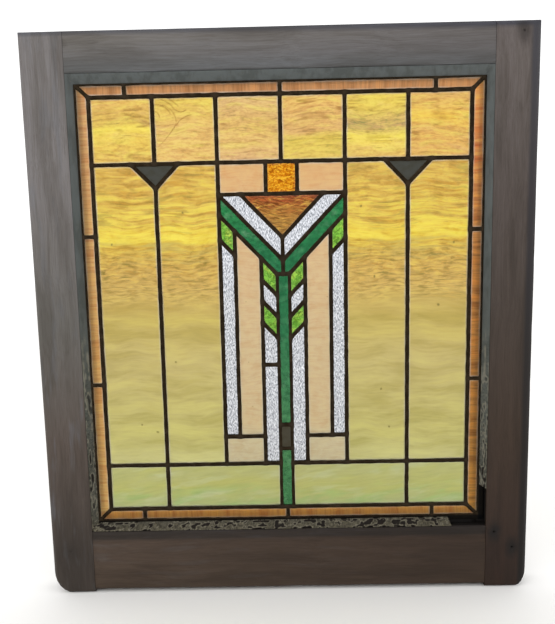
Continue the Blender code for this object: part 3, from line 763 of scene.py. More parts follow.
puttyFacts = {
    "sideWidthMm": 7.8, "topWidthMm": 11.2, "bottomWidthMm": 9.8, "sideGapMm": 2.2,
    "endGapMm": 5.4, "toeMm": 0.6, "sideBreakMm": 49.0, "endBreakMm": 43.3, "slantMm": 4.0,
    "slopeShares": (0.0, 0.12, 0.25, 0.4, 0.55, 0.7, 0.85, 1.0), "slopePower": 1.15,
    "stepMm": 1.1, "crumbleMm": 2.0, "bareMm": 0.8,
    # where it crumbles: along the bottom, and less up the left and the right
    "lowMm": 13.0, "lowFadeMm": 2.0, "upMm": 340.0, "upFadeMm": 160.0, "upShares": (0.4, 0.45),
    # large and small chips, along the bottom and up the sides
    "chips": (((6, 9, 1.9), (1.8, 9, 12)), ((2.6, 4, 1.6), (1.4, 4, 5))),
    "smallShare": 0.6, "chipFrom": 0.08, "chipSpan": 0.9, "lostGain": 1.6,
    "grain": (1.8, 1.8, 1.8), "grainMm": 0.22, "grainLeast": 0.3,
    "levels": ((70, "#474338"), (84, "#474338"), (96, "#3f3e37"), (260, "#464843"),
               (420, "#4c504e"), (560, "#505453"), (646, "#525655"), (656, "#5b5f61")),
    "rim": "#8d8776", "rimLine": ((0.0, "#000000"), (0.10, "#b0b0b0"), (0.26, "#000000"),
                                  (1.0, "#000000")),
    # the chipped hollows are darkened with painted shade
    "hollow": "#191410", "hollowFrom": 0.2, "hollowTo": 0.42,
    "layers": (tones((2.6, 4.0, 2.6), "#8c8880", "#d6d4cc", zone=(-50, 270, 120), share=0.9),
               tones((9.0, 9.0, 30.0), "#a8a8a6", "#c6c7c8", share=0.8),
               # dark streaks along the top bead: painted shade under the top rail
               patches((42.0, 8.0, 3.0), "#262a33", 0.55, 0.66, zone=(647, 700, 3), share=0.6)),
    "roughness": 0.85, "specular": 0.2, "sharpAngle": 60, "gritMm": 0.9,
    "gritBump": {"Strength": 0.5, "Distance": 0.0004},
}


def puttySections():
    # cross-sections of the bead from the break on the right, over the top and down the left,
    # to the break on the bottom; the first and last points are at the wood
    facts = puttyFacts
    low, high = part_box("glazing_putty")
    clear = cameFacts["clearMm"]
    face, toe = low.y, leadLow.y - clear / 1000
    shares = facts["slopeShares"]
    fall = toe - facts["toeMm"] / 1000 - face
    depths = [face + fall * share ** facts["slopePower"] for share in shares]
    depths = np.array(depths + [toe, toe, high.y, high.y])

    def widths(widthMm, gapMm):
        slope = [clear + (widthMm - clear) * share for share in shares]
        return np.array(slope + [widthMm, gapMm - clear, gapMm - clear, clear]) / 1000

    side = widths(facts["sideWidthMm"], facts["sideGapMm"])
    top = widths(facts["topWidthMm"], facts["endGapMm"])
    bottom = widths(facts["bottomWidthMm"], facts["endGapMm"])
    slant = facts["slantMm"]
    lean = np.array([slant * share for share in (*shares, 1.0, 0.5, 0.5, 0.0)]) / 1000
    first = sightLow.z + facts["sideBreakMm"] / 1000
    last = sightHigh.x - facts["endBreakMm"] / 1000
    corners = [np.stack([sightHigh.x - side, depths, first + lean], 1),
               np.stack([sightHigh.x - side, depths, sightHigh.z - top], 1),
               np.stack([sightLow.x + side, depths, sightHigh.z - top], 1),
               np.stack([sightLow.x + side, depths, sightLow.z + bottom], 1),
               np.stack([last - lean, depths, sightLow.z + bottom], 1)]
    sections = [corners[0]]
    for start, stop in zip(corners, corners[1:]):
        parts = round(np.abs(stop - start).max() * 1000 / facts["stepMm"])
        sections += [start + (stop - start) * (i + 1) / parts for i in range(parts)]
    return sections


def crumblePutty(mesh):
    # grain all over, and pieces lost along the bottom and less up the two sides
    facts = puttyFacts
    points, normals = meshPoints(mesh), meshPoints(mesh, "normal")
    mm = points * 1000
    bare = np.clip((leadLow.y * 1000 - mm[:, 1]) / facts["bareMm"], 0, 1)
    above = sightLow.z * 1000 + facts["lowMm"] - mm[:, 2]
    up = np.clip((facts["upMm"] - mm[:, 2]) / facts["upFadeMm"], 0, 1)
    decay = np.maximum(np.clip(above / facts["lowFadeMm"], 0, 1),
                       up * np.where(mm[:, 0] < 0, *facts["upShares"]))
    large, small = (np.where(above > 0, softNoise(points, flat, seed),
                             softNoise(points, tall, seed))
                    for seed, (flat, tall) in enumerate(facts["chips"], 11))
    chips = large + facts["smallShare"] * small - facts["chipFrom"]
    chip = np.clip(chips, 0, 1) / facts["chipSpan"]
    least = facts["grainLeast"]
    grain = softShare(points, facts["grain"], 13) * facts["grainMm"] * (least + (1 - least) * decay)
    depth = (grain + decay * chip * facts["crumbleMm"]) * bare
    setPoints(mesh, points - normals * (depth / 1000)[:, None])
    markPoints(mesh, "lost", np.clip(decay * chip * facts["lostGain"], 0, 1) * bare)


def makePutty():
    skin = bmesh.new()
    rings = [[skin.verts.new(point) for point in section] for section in puttySections()]
    for ring, following in zip(rings, rings[1:]):
        for i in range(len(ring)):
            skin.faces.new((ring[i - 1], ring[i], following[i], following[i - 1]))
    skin.faces.new(rings[0])
    skin.faces.new(rings[-1])
    bmesh.ops.recalc_face_normals(skin, faces=skin.faces)
    mesh = finishSkin(skin, "puttyBead")
    crumblePutty(mesh)
    return mesh


def driedPutty():
    facts = puttyFacts
    material, tree, shader, coord = newMaterial(
        "driedPutty", {"Roughness": facts["roughness"],
                       "Specular IOR Level": facts["specular"]})
    height = addNode(tree, "SeparateXYZ", links={0: coord}).outputs["Z"]
    lost = addNode(tree, "Attribute", attribute_name="lost").outputs["Fac"]
    colour = colourByHeight(tree, height, facts["levels"])
    colour = layOver(tree, colour, coord, height, facts["layers"])[0]
    rim = addNode(tree, "ValToRGB", links={0: lost}, stops=facts["rimLine"])
    # painted shade in the deepest part of each chip
    deep = addNode(tree, "MapRange", {"From Min": facts["hollowFrom"],
                                      "From Max": facts["hollowTo"]}, {"Value": lost})
    for code, reach in ((facts["rim"], rim), (facts["hollow"], deep)):
        colour = addNode(tree, "Mix", {7: hexToLinear(code)}, {0: reach.outputs[0], 6: colour},
                         data_type="RGBA").outputs[2]
    tree.links.new(colour, shader.inputs["Base Color"])
    crumb = addNode(tree, "TexNoise", {"Scale": 1000 / facts["gritMm"], "Detail": 4.0},
                    {"Vector": coord})
    bump = addNode(tree, "Bump", facts["gritBump"], {"Height": crumb.outputs["Fac"]})
    tree.links.new(bump.outputs[0], shader.inputs["Normal"])
    return material


addPiece("glazing_putty", makePutty(), [driedPutty()], puttyFacts["sharpAngle"])
print("putty knifed in")


# Opalescent glass: hot glass of two or three colours hand-ladled and rolled in one sheet.
# The eye gets milky glowing colour in long wisps, brighter where the white is thin, with a
# soft ripple left by the roller. Wisps are measured in mm along and across the sheet's roll.

glassFacts = {
    "fieldGlass": {
        # golden mottles at the top, one bright yellow band, tan wavelets, then calm olive
        "levels": ((165, "#c9c58b"), (200, "#c2ba76"), (300, "#c4b477"), (350, "#c4b065"),
                   (390, "#ccad68"), (415, "#cfac63"), (444, "#dab956"), (450, "#ead35b"),
                   (462, "#e8ce59"), (472, "#dbba5a"), (540, "#d9b45e")),
        "wanderMm": (9, 0.0, 6), "seedMm": 84, "seedTone": "#6f6430",
        "layers": (
            tones((52, 8, 5), "#8c9b88", "#cccbba", zone=(436, 700, 8)),
            tones((15, 8, 8.5), "#93a08e", "#cac8b6", zone=(400, 700, 12), share=0.8, swirl=0.5,
                  detail=5),
            tones((18, 8, 2.2), "#95a090", "#c8c7ba", zone=(380, 700, 12), share=0.6, swirl=0.1,
                  detail=5),
            patches((60, 8, 4), "#f0e05c", 0.5, 0.57, zone=(440, 500, 12), share=0.75),
            patches((34, 8, 5), "#a38d42", 0.55, 0.63, zone=(458, 700, 10), share=0.75),
            patches((60, 8, 4), "#b5a062", 0.47, 0.57, zone=(422, 449, 4), share=0.7),
            tones((15, 8, 2.8), "#949d8c", "#d0cabb", zone=(374, 440, 12), swirl=0.4),
            tones((90, 8, 18), "#acaea0", "#c7c7bf", zone=(60, 385, 20), share=0.9),
            tones((26, 8, 2.8), "#b2b2aa", "#c4c4be", zone=(60, 385, 20), share=0.6, swirl=0.0),
        ),
    },
    "honeyGlass": {
        # tan and yellow, each square cut from another place of the sheet
        "levels": ((548, "#e3bd64"), (614, "#e3bd64")),
        "wanderMm": (8, 0.0, 5), "folded": True,
        "layers": (
            patches((34, 8, 10), "#ddb380", 0.52, 0.66, share=0.3),
            patches((34, 8, 7), "#e6d768", 0.5, 0.62, share=0.4),
            tones((26, 8, 3.6), "#7da29c", "#c8c8c0", share=0.85, swirl=0.3),
            tones((6, 8, 2.2), "#8ca6a0", "#c7c6c0", share=0.85, swirl=0.4),
        ),
    },
    "paleGreenGlass": {
        # yellow-green above, bluish green below, in long drifts that rise to the right
        "levels": ((96, "#afba88"), (110, "#b2ba80"), (124, "#b8bb7a"), (138, "#bcbb75"),
                   (152, "#b9b97c")),
        "wanderMm": (6, 0.0, 4),
        "layers": (
            patches((64, 8, 15), "#98bd76", 0.46, 0.62, zone=(60, 132, 14), share=0.8, turn=-0.16,
                    swirl=0.0),
            patches((70, 8, 16), "#c2c168", 0.46, 0.62, zone=(118, 200, 12), share=0.6,
                    turn=-0.16, swirl=0.0),
            patches((50, 8, 12), "#c6cba2", 0.5, 0.66, share=0.55, turn=-0.2, swirl=0.0),
            tones((30, 8, 3.4), "#aab09f", "#c5c8bd", share=0.4, turn=-0.12, swirl=0.0),
        ),
    },
    "creamGlass": {
        # even cream, warmer towards the top
        "levels": ((165, "#c8bd9d"), (205, "#cabd9c"), (215, "#cfbb95"), (300, "#d0ba94"),
                   (420, "#d4b890"), (480, "#d8b589"), (535, "#d9af7b"), (575, "#daad74")),
        "wanderMm": (6, 0.0, 6), "seedMm": 48, "seedTone": "#a08a58",
        "layers": (
            tones((13, 8, 9), "#b4afa6", "#c3c1bb", share=0.8),
            tones((26, 8, 1.8), "#b1aca2", "#c1c0bc", share=0.7),
        ),
    },
    "amberLeft": {
        # streaks run across each border strip, so the four sides differ
        "levels": ((90, "#d4ae6d"), (300, "#cfa465"), (640, "#d3a675")),
        "wanderMm": (2, 0.0, 3),
        "layers": (
            tones((50, 8, 8), "#a89a8c", "#c9c2b4", share=0.8),
            tones((50, 8, 1.9), "#a69a8c", "#cfc8ba", share=0.8),
        ),
    },
    "amberRight": {
        "levels": ((90, "#c08d40"), (160, "#b07d38"), (420, "#b87d40"), (560, "#d7985a"),
                   (640, "#e2a65e")),
        "wanderMm": (2, 0.0, 3),
        "layers": (
            tones((50, 8, 9), "#8f7c6c", "#cfc2a8", share=0.9),
            tones((50, 8, 2.2), "#a09080", "#d2c8b4", share=0.8),
        ),
    },
    "amberTop": {
        "levels": ((600, "#bb885c"), (640, "#bb885c")),
        "wanderMm": (3, 0.0, 2),
        "layers": (
            tones((10, 8, 50), "#a89a8c", "#c9c2b4", share=0.8),
            tones((2, 8, 50), "#a69a8c", "#cfc8ba", share=0.8),
        ),
    },
    "amberBottom": {
        "levels": ((80, "#ce9549"), (100, "#ce9549")),
        "wanderMm": (3, 0.0, 2),
        "layers": (
            tones((12, 8, 50), "#9c8a7a", "#cfc6b2", share=0.85),
            tones((2.1, 8, 50), "#a89c8e", "#cfc8ba", share=0.8),
        ),
    },
    "orangeGlass": {
        # bright orange with dark curls
        "levels": ((530, "#c87a10"), (580, "#ca7c14")),
        "cement": 0.1, "wanderMm": (3, 0.0, 3), "clear": 0.85, "roughness": 0.25,
        "tint": "#ffa030",
        "layers": (
            patches((7, 8, 3.6), "#ecb234", 0.46, 0.55, share=0.95, swirl=1.2),
            patches((6.5, 8, 3), "#8e4808", 0.52, 0.6, share=0.9, swirl=1.6, detail=2),
            tones((2.4, 8, 1.8), "#a89c80", "#cfcbb8", share=0.8),
        ),
    },
    "brownGlass": {
        # red-brown swirled with amber
        "levels": ((466, "#a37c42"), (486, "#a07038"), (500, "#95502e"), (514, "#98583a"),
                   (526, "#9c8242"), (540, "#9c8c48")),
        "cement": 0.1, "wanderMm": (6, 0.0, 7), "clear": 0.85, "roughness": 0.25,
        "tint": "#c89060",
        "layers": (
            patches((26, 8, 5), "#8a4028", 0.5, 0.6, zone=(478, 524, 6), share=0.7, turn=0.15),
            patches((24, 8, 4.4), "#c7a550", 0.53, 0.62, share=0.75, turn=-0.25, swirl=0.6),
            tones((12, 8, 2.2), "#847660", "#dcd2ba", swirl=0.9, turn=0.2),
        ),
    },
    "greenGlass": {
        # deep green with faint cloud
        "levels": ((90, "#467a50"), (180, "#47774f"), (250, "#427450"), (340, "#2f6c49"),
                   (430, "#286844"), (480, "#2c7446"), (540, "#33784a")),
        "cement": 0.0, "wanderMm": (4, 0.0, 4), "clear": 0.85, "roughness": 0.25,
        "tint": "#5cb074",
        "layers": (
            patches((13, 8, 11), "#6a8c70", 0.52, 0.7, share=0.5),
            tones((7, 8, 6), "#8ea096", "#cbd2c8", share=0.8),
            tones((8, 8, 2), "#a4aea8", "#c8ccc4", share=0.7),
        ),
    },
    "leafGlass": {
        # yellow-green with dark flecks
        "levels": ((300, "#78ac4a"), (540, "#7aae4a")),
        "cement": 0.1, "wanderMm": (3, 0.0, 3), "clear": 0.85, "roughness": 0.25,
        "tint": "#98d850",
        "layers": (
            patches((14, 8, 9), "#b4c25c", 0.52, 0.62, share=0.75),
            patches((7, 8, 6), "#4c6a1e", 0.54, 0.62, share=0.8, swirl=0.8),
            tones((5, 8, 4), "#6c8a5c", "#d4d8b8", share=0.8, swirl=0.8),
            tones((2, 8, 2), "#94a084", "#c8cbb8", share=0.8),
        ),
    },
    "smokeGlass": {
        # dense grey-black, all but opaque
        "levels": ((170, "#393832"), (210, "#393832"), (500, "#363a3b"), (545, "#363b3c")),
        "wanderMm": (3, 0.0, 3), "clear": 0.3, "roughness": 0.3, "cement": 0.0,
        "layers": (
            tones((12, 8, 8), "#adaba6", "#c4c6c8", share=0.8),
        ),
    },
}

# each square's own tones by height in mm, from the glass's foot up
squareLevels = {
    "square_glass_1": ((548, "#e0b95e"), (570, "#e8c85f"), (584, "#f0da62"), (590, "#dab65a"),
                       (614, "#e3b964")),
    "square_glass_2": ((548, "#e4bc72"), (585, "#e3bc72"), (614, "#e3c35e")),
    "square_glass_3": ((548, "#dfb580"), (567, "#e5c078"), (588, "#dbb16b"), (614, "#e1bb7f")),
    "square_glass_4": ((548, "#e2c464"), (567, "#dcbf58"), (577, "#ddb070"), (614, "#e5b96c")),
    "square_glass_5": ((548, "#e3bd6a"), (569, "#f0dc64"), (582, "#c69f69"), (606, "#e7cb60"),
                       (614, "#e7ca5c")),
    "square_glass_6": ((548, "#e1b266"), (576, "#e1b260"), (590, "#ebc657"), (614, "#e1b267")),
}


# what a glass is where it doesn't say otherwise
sheetFacts = {
    "driftMm": 60.0, "driftGain": 3.0, "clear": 0.75, "roughness": 0.35, "ior": 1.52,
    "specular": 0.2, "tint": "#ffe9b0", "rippleBump": {"Strength": 0.25, "Distance": 0.0005},
    "seedFrom": 0.010, "seedTo": 0.022, "seedShare": 0.8,
    # the pale line along the came is partly old cement and partly painted highlight through the
    # glass edge
    "folded": False, "foldTone": "#a8824e", "cement": 0.8, "cementTone": "#d6d0c4",
}


def opalescentGlass(name, facts):
    facts = {**sheetFacts, **facts}
    material, tree, shader, coord = newMaterial(
        name, {"Transmission Weight": facts["clear"], "Roughness": facts["roughness"],
               "IOR": facts["ior"], "Specular IOR Level": facts["specular"],
               "Specular Tint": hexToLinear(facts["tint"])})
    drift = addNode(tree, "TexNoise", {"Scale": 1000 / facts["driftMm"], "Detail": 1.0},
                    {"Vector": coord})
    centred = addNode(tree, "VectorMath", {1: (0.5, 0.5, 0.5)}, {0: drift.outputs["Color"]},
                      operation="SUBTRACT")
    wander = [mm / 1000 * facts["driftGain"] for mm in facts["wanderMm"]]
    warped = addNode(tree, "VectorMath", {1: wander}, {0: centred.outputs[0], 2: coord},
                     operation="MULTIPLY_ADD").outputs[0]
    place = addNode(tree, "SeparateXYZ", links={0: warped})
    height = place.outputs["Z"]
    colour = colourByHeight(tree, height, facts["levels"])
    colour, patterns = layOver(tree, colour, warped, height, facts["layers"])
    if "seedMm" in facts:
        # a stray speck of unmelted batch here and there
        flat = addNode(tree, "CombineXYZ", links={0: place.outputs["X"], 1: height})
        specks = addNode(tree, "TexVoronoi", {"Scale": 1000 / facts["seedMm"]},
                         {"Vector": flat.outputs[0]}, voronoi_dimensions="2D")
        seed = addNode(tree, "MapRange", {"From Min": facts["seedFrom"],
                                          "From Max": facts["seedTo"],
                                          "To Min": facts["seedShare"], "To Max": 0.0},
                       {"Value": specks.outputs["Distance"]})
        colour = addNode(tree, "Mix", {7: hexToLinear(facts["seedTone"])},
                         {0: seed.outputs[0], 6: colour}, data_type="RGBA").outputs[2]
    # fold lines darkened in colour: painted shade in the creases
    if facts["folded"]:
        fold = addNode(tree, "Attribute", attribute_name="fold").outputs["Fac"]
        colour = addNode(tree, "Mix", {7: hexToLinear(facts["foldTone"])}, {0: fold, 6: colour},
                         data_type="RGBA", blend_type="MULTIPLY").outputs[2]
    # the pale line where the glass leaves the came, partly old cement and partly painted highlight
    edge = addNode(tree, "Attribute", attribute_name="edge").outputs["Fac"]
    cement = addNode(tree, "Math", {1: facts["cement"]}, {0: edge}, operation="MULTIPLY")
    colour = addNode(tree, "Mix", {7: hexToLinear(facts["cementTone"])},
                     {0: cement.outputs[0], 6: colour}, data_type="RGBA").outputs[2]
    tree.links.new(colour, shader.inputs["Base Color"])
    ripple = addNode(tree, "Bump", facts["rippleBump"], {"Height": patterns[-1]})
    tree.links.new(ripple.outputs[0], shader.inputs["Normal"])
    return material


# Granite-rolled clear glass: colourless window glass pressed between pebbled rollers.
# The eye gets a blurred view of whatever is behind; its bright silvery flecks and the grey
# between them are painted glints and painted shade of the pebbles.

clearFacts = {
    "pebbleMm": (1.2, 8.0, 2.9), "turn": 0.8, "detail": 2.0, "fine": 0.55, "swirl": 0.3,
    # painted glints and shade of the pebbled face, by the pebbles' noise
    "flecks": ((0.34, "#6c717a"), (0.48, "#b4b7bd"), (0.64, "#e9ebf0")),
    "roughness": 0.15, "ior": 1.5, "specular": 0.3,
    "pebbleBump": {"Strength": 0.25, "Distance": 0.0005},
}


def graniteGlass():
    facts = clearFacts
    material, tree, shader, coord = newMaterial(
        "graniteRolledGlass", {"Transmission Weight": 1.0, "Roughness": facts["roughness"],
                               "IOR": facts["ior"], "Specular IOR Level": facts["specular"]})
    sized = addNode(tree, "Mapping", {"Rotation": (0.0, facts["turn"], 0.0),
                                      "Scale": perMetre(*facts["pebbleMm"])},
                    {"Vector": coord})
    pebbles = addNode(tree, "TexNoise", {"Scale": 1.0, "Detail": facts["detail"],
                                         "Roughness": facts["fine"],
                                         "Distortion": facts["swirl"]},
                      {"Vector": sized.outputs[0]}).outputs["Fac"]
    flecks = addNode(tree, "ValToRGB", links={0: pebbles}, stops=facts["flecks"])
    tree.links.new(flecks.outputs[0], shader.inputs["Base Color"])
    bump = addNode(tree, "Bump", facts["pebbleBump"], {"Height": pebbles})
    tree.links.new(bump.outputs[0], shader.inputs["Normal"])
    return material


# Panes

# width and patchiness of the pale line along the came, partly cement and partly painted highlight
cementAndHighlightFacts = {"widthMm": 2.0, "patch": (12, 9, 12), "least": 0.2}
rollFacts = {"mergeShare": 0.12, "lumpShare": 0.7, "fineShare": 0.3, "fineSize": 0.45,
             "backShare": 0.35, "firstSeed": 20, "sharpAngle": 60}
paneFacts = {
    "border": {"slot": "amber_glass", "gridMm": 1.8, "reliefMm": 0.12, "lump": (7, 9, 3)},
    "square": {"slot": "honey_glass", "gridMm": 0.95, "reliefMm": 0.25, "lump": (16, 9, 7)},
    "tall": {"slot": "field_glass", "gridMm": 2.1, "reliefMm": 0.2, "lump": (22, 9, 7)},
    "base": {"slot": "pale_green_glass", "gridMm": 2.2, "reliefMm": 0.12, "lump": (24, 9, 12)},
    "cream": {"slot": "cream_glass", "gridMm": 2.0, "reliefMm": 0.08, "lump": (12, 9, 12)},
    "orange": {"slot": "orange_glass", "gridMm": 1.1, "reliefMm": 0.3, "lump": (5, 9, 4)},
    "brown": {"slot": "brown_glass", "gridMm": 1.4, "reliefMm": 0.3, "lump": (12, 9, 5)},
    "green": {"slot": "green_glass", "gridMm": 1.5, "reliefMm": 0.15, "lump": (6, 9, 6)},
    "leaf": {"slot": "leaf_glass", "gridMm": 1.2, "reliefMm": 0.25, "lump": (5, 9, 5)},
    "smoke": {"slot": "dark_glass", "gridMm": 1.5, "reliefMm": 0.12, "lump": (8, 9, 8)},
    "clear": {"slot": "clear_glass", "gridMm": 0.75, "reliefMm": 0.45, "lump": (2.1, 9, 2.6)},
}
# the kind of each pane, by how its name starts
paneKinds = (("border", "border"), ("square", "square"), ("tall", "tall"), ("base", "base"),
             ("small_cream", "cream"), ("cream", "cream"), ("orange", "orange"),
             ("brown", "brown"), ("green", "green"), ("stem_block", "smoke"),
             ("hanging", "smoke"), ("stem", "green"), ("lime", "leaf"), ("upper_leaf", "leaf"),
             ("lower_leaf", "leaf"), ("leaf_gap", "clear"), ("white", "clear"),
             ("clear", "clear"))
kindGlass = {"tall": "fieldGlass", "base": "paleGreenGlass", "cream": "creamGlass",
             "orange": "orangeGlass", "brown": "brownGlass", "green": "greenGlass",
             "leaf": "leafGlass", "smoke": "smokeGlass", "clear": "graniteGlass"}
foldFacts = {
    # fine wrinkles in patches, more of them towards a square's top
    "wrinkle": (30, 9, 2.9), "ridge": 0.26, "patch": (12, 9, 9), "patchGain": 2.0,
    "patchFrom": 0.55, "towardsTop": 0.6, "wrinkleShare": 0.7, "depthMm": 0.24,
    # drapery folds in the second square, each a curve by its start, bend and end in mm
    # right of and below the square's upper left corner
    "drapery": (((0, 8), (27, 9), (27, 30)), ((27, 30), (26, 38), (4, 58)),
                ((27, 33), (33, 23), (46, 21)), ((8, 2), (20, 5), (26, 15)),
                ((26, 15), (34, 20), (40, 15)), ((0, 16), (7, 17), (8, 24)),
                ((16, 0), (24, 5), (31, 11)), ((8, 10), (18, 12), (21, 20))),
    "widthMm": 0.9, "samples": 30, "shake": (6, 9, 6), "shakeMm": 0.5,
    "endShare": 0.4, "endRise": 8, "wrinklesLeft": 0.4,
}


def sightDepth(kind):
    # how far in from a pane's own side the came's face covers it, in metres
    return (facesMm[kind] - heartsMm[kind] - cameFacts["clearMm"]) / 1000


def paneSheet(node, outline, gridMm):
    # the pane as a closed slab whose faces are cut into small squares, and along the sides
    # where the came's face and the pale line of cement and painted highlight end
    low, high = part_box(node)
    skin = bmesh.new()
    skin.faces.new([skin.verts.new((x, low.y, z)) for x, z in outline])
    evenCuts(skin, 2, low, high, gridMm)
    evenCuts(skin, 0, low, high, gridMm)
    for start, end in outlineSides(outline):
        way = (end - start).normalized()
        inward = Vector((-way.y, 0.0, way.x))
        sight = Vector((start.x, 0.0, start.y)) + inward * sightDepth(sideKind(start, end))
        cutAt(skin, inward, [sight, sight + inward * cementAndHighlightFacts["widthMm"] / 1000])
    bmesh.ops.remove_doubles(skin, verts=skin.verts,
                             dist=gridMm / 1000 * rollFacts["mergeShare"])
    grown = bmesh.ops.extrude_face_region(skin, geom=skin.faces[:], use_keep_orig=True)
    for item in grown["geom"]:
        if isinstance(item, bmesh.types.BMVert):
            item.co.y = high.y
    bmesh.ops.recalc_face_normals(skin, faces=skin.faces)
    return finishSkin(skin, pieceName(node))


def markCementAndHighlight(mesh, outline, seed):
    # a pale line where the glass comes out from under the came, partly old cement and partly
    # painted highlight of light through the glass edge
    facts = cementAndHighlightFacts
    points = meshPoints(mesh)
    spots = points[:, [0, 2]]
    nearest = np.full(len(points), 1.0)
    for start, end in outlineSides(outline):
        way = np.array(end - start)
        along = np.clip((spots - np.array(start)) @ way / (way @ way), 0, 1)
        away = np.linalg.norm(spots - np.array(start) - along[:, None] * way, axis=1)
        nearest = np.minimum(nearest, away - sightDepth(sideKind(start, end)))
    least = facts["least"]
    patchy = least + (1 - least) * softShare(points, facts["patch"], seed + 2)
    markPoints(mesh, "edge", np.clip(1 - nearest * 1000 / facts["widthMm"], 0, 1) * patchy)


def foldLines(flat, node, seed):
    # how deep each point lies in a fold, from 0 to 1
    facts = foldFacts
    low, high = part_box(node)
    ridge = 1 - np.abs(softNoise(flat, facts["wrinkle"], seed)) / facts["ridge"]
    patch = softNoise(flat, facts["patch"], seed + 1) * facts["patchGain"] - facts["patchFrom"]
    patch += (flat[:, 2] - low.z) / (high.z - low.z) * facts["towardsTop"]
    lines = np.clip(ridge, 0, 1) * np.clip(patch, 0, 1) * facts["wrinkleShare"]
    if node != "square_glass_2":
        return lines
    lines *= facts["wrinklesLeft"]
    wave = softNoise(flat, facts["shake"], seed + 2) * facts["shakeMm"]
    x = (flat[:, 0] - low.x) * 1000 + wave
    z = (high.z - flat[:, 2]) * 1000 + wave
    for (x0, z0), (x1, z1), (x2, z2) in facts["drapery"]:
        for s in (i / facts["samples"] for i in range(facts["samples"] + 1)):
            a, b, c = (1 - s) ** 2, 2 * s * (1 - s), s * s
            away = np.hypot(x - (a * x0 + b * x1 + c * x2), z - (a * z0 + b * z1 + c * z2))
            fade = min(1.0, facts["endShare"] + facts["endRise"] * min(s, 1 - s))
            lines = np.maximum(lines, fade * np.clip(1 - away / facts["widthMm"], 0, 1))
    return lines


def rollRelief(mesh, facts, node, seed):
    # ripple of the rolled face in front, and a weaker one behind, pressed into the slab
    points = meshPoints(mesh)
    middle = (points[:, 1].min() + points[:, 1].max()) / 2
    flat = points.copy()
    flat[:, 1] = 0.0
    lumps = softNoise(flat, facts["lump"], seed) * rollFacts["lumpShare"]
    finer = [size * rollFacts["fineSize"] for size in facts["lump"]]
    fine = softNoise(flat, finer, seed + 1) * rollFacts["fineShare"]
    relief = (1 + lumps + fine) / 2 * facts["reliefMm"] / 1000
    if facts["slot"] == "honey_glass":
        folds = foldLines(flat, node, seed)
        relief += folds * foldFacts["depthMm"] / 1000
        markPoints(mesh, "fold", folds)
    points[:, 1] += np.where(points[:, 1] < middle, relief, -relief * rollFacts["backShare"])
    setPoints(mesh, points)


def markArms(mesh):
    # an L-shaped corner pane has its streaks across each arm, so each arm has its own slot
    for face in mesh.polygons:
        x, y, z = face.center
        fromSide = min(x - leadLow.x, leadHigh.x - x)
        fromEnd = min(z - leadLow.z, leadHigh.z - z)
        face.material_index = 0 if fromSide < fromEnd else 1


def paneFinishes(node, kind):
    # the material of a pane, or a corner's two, with its upright arm's first
    if kind == "border":
        sides = ["amber" + word.capitalize() for word in node.split("_")[2:]]
        corner = node.startswith("border_corner")
        return [glassMaterials[side] for side in (sides[::-1] if corner else sides[:1])]
    return [glassMaterials[node if kind == "square" else kindGlass[kind]]]


glassMaterials = {name: opalescentGlass(name, facts) for name, facts in glassFacts.items()
                  if name != "honeyGlass"}
for node, levels in squareLevels.items():
    glassMaterials[node] = opalescentGlass("honeyGlass" + node[-1],
                                           {**glassFacts["honeyGlass"], "levels": levels})
glassMaterials["graniteGlass"] = graniteGlass()
for seed, node in enumerate(glassNodes, rollFacts["firstSeed"]):
    kind = next(kind for start, kind in paneKinds if node.startswith(start))
    facts = paneFacts[kind]
    sheet = paneSheet(node, outlines[node], facts["gridMm"])
    markCementAndHighlight(sheet, outlines[node], seed)
    rollRelief(sheet, facts, node, seed)
    addPiece(node, sheet, paneFinishes(node, kind), rollFacts["sharpAngle"])
    if node.startswith("border_corner"):
        markArms(sheet)
print("panes cut and rolled:", len(glassNodes))


# Floor, light and camera. The floor has matt off-white paint, rolled on, which gives the eye
# an even pale ground with a soft shadow

stageFacts = {
    "floorColour": "#f2f1ef", "floorRoughness": 0.9, "floorHalf": 4.0,
    "worldColour": "#ffffff", "worldStrength": 1.25,
    "keyEnergy": 6.0, "keySize": 1.2, "keyPlace": (-1.1, -1.6, 1.7),
}
cameraFacts = {
    "place": (0.0019, -0.8712, 0.4834), "pitch": -0.1423, "yaw": -0.0115, "roll": -0.0214,
    "focalMm": 40.63, "sensorMm": 36.0,
}


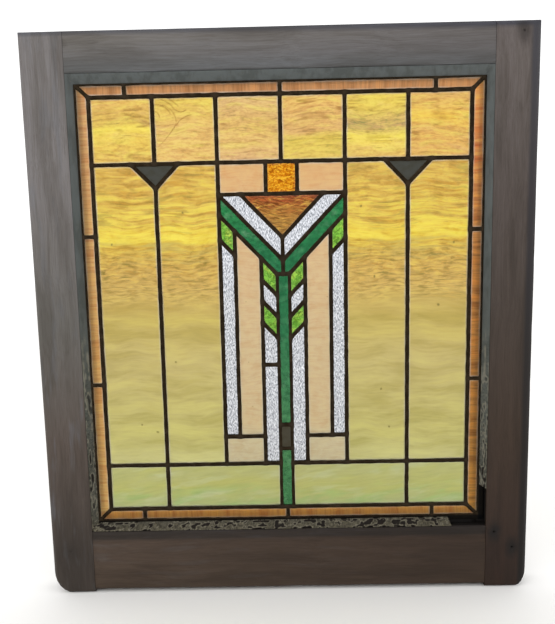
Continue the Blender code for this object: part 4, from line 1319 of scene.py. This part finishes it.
def setStage():
    facts = stageFacts
    mesh = bpy.data.meshes.new("paleFloor")
    half, level = facts["floorHalf"], cadLow.z
    mesh.from_pydata([(-half, -half, level), (half, -half, level), (half, half, level),
                      (-half, half, level)], [], [(0, 1, 2, 3)])
    floor = bpy.data.objects.new("paleFloor", mesh)
    bpy.context.scene.collection.objects.link(floor)
    paint = newMaterial("paleFloorPaint", {"Base Color": hexToLinear(facts["floorColour"]),
                                           "Roughness": facts["floorRoughness"]})[0]
    mesh.materials.append(paint)
    world = bpy.data.worlds.new("softRoom")
    world.use_nodes = True
    sky = world.node_tree.nodes["Background"]
    sky.inputs["Color"].default_value = hexToLinear(facts["worldColour"])
    sky.inputs["Strength"].default_value = facts["worldStrength"]
    bpy.context.scene.world = world
    light = bpy.data.lights.new("softKey", "AREA")
    light.energy = facts["keyEnergy"]
    light.size = facts["keySize"]
    key = bpy.data.objects.new("softKey", light)
    key.location = facts["keyPlace"]
    aim = (cadLow + cadHigh) / 2 - key.location
    key.rotation_euler = aim.to_track_quat("-Z", "Y").to_euler()
    bpy.context.scene.collection.objects.link(key)
    bpy.context.scene.view_settings.view_transform = "Standard"


def setCamera():
    facts = cameraFacts
    pitch, yaw, roll = facts["pitch"], facts["yaw"], facts["roll"]
    ahead = Vector((math.cos(pitch) * math.sin(yaw), math.cos(pitch) * math.cos(yaw),
                    math.sin(pitch)))
    right = Vector((math.cos(yaw), -math.sin(yaw), 0.0))
    up = right.cross(ahead)
    tilted = right * math.cos(roll) + up * math.sin(roll)
    upright = up * math.cos(roll) - right * math.sin(roll)
    data = bpy.data.cameras.new("viewCamera")
    data.lens = facts["focalMm"]
    data.sensor_width = facts["sensorMm"]
    camera = bpy.data.objects.new("viewCamera", data)
    turn = Matrix((tilted, upright, -ahead)).transposed()
    camera.matrix_world = Matrix.Translation(facts["place"]) @ turn.to_4x4()
    bpy.context.scene.collection.objects.link(camera)
    bpy.context.scene.camera = camera


setStage()
setCamera()
print("stage and camera set")
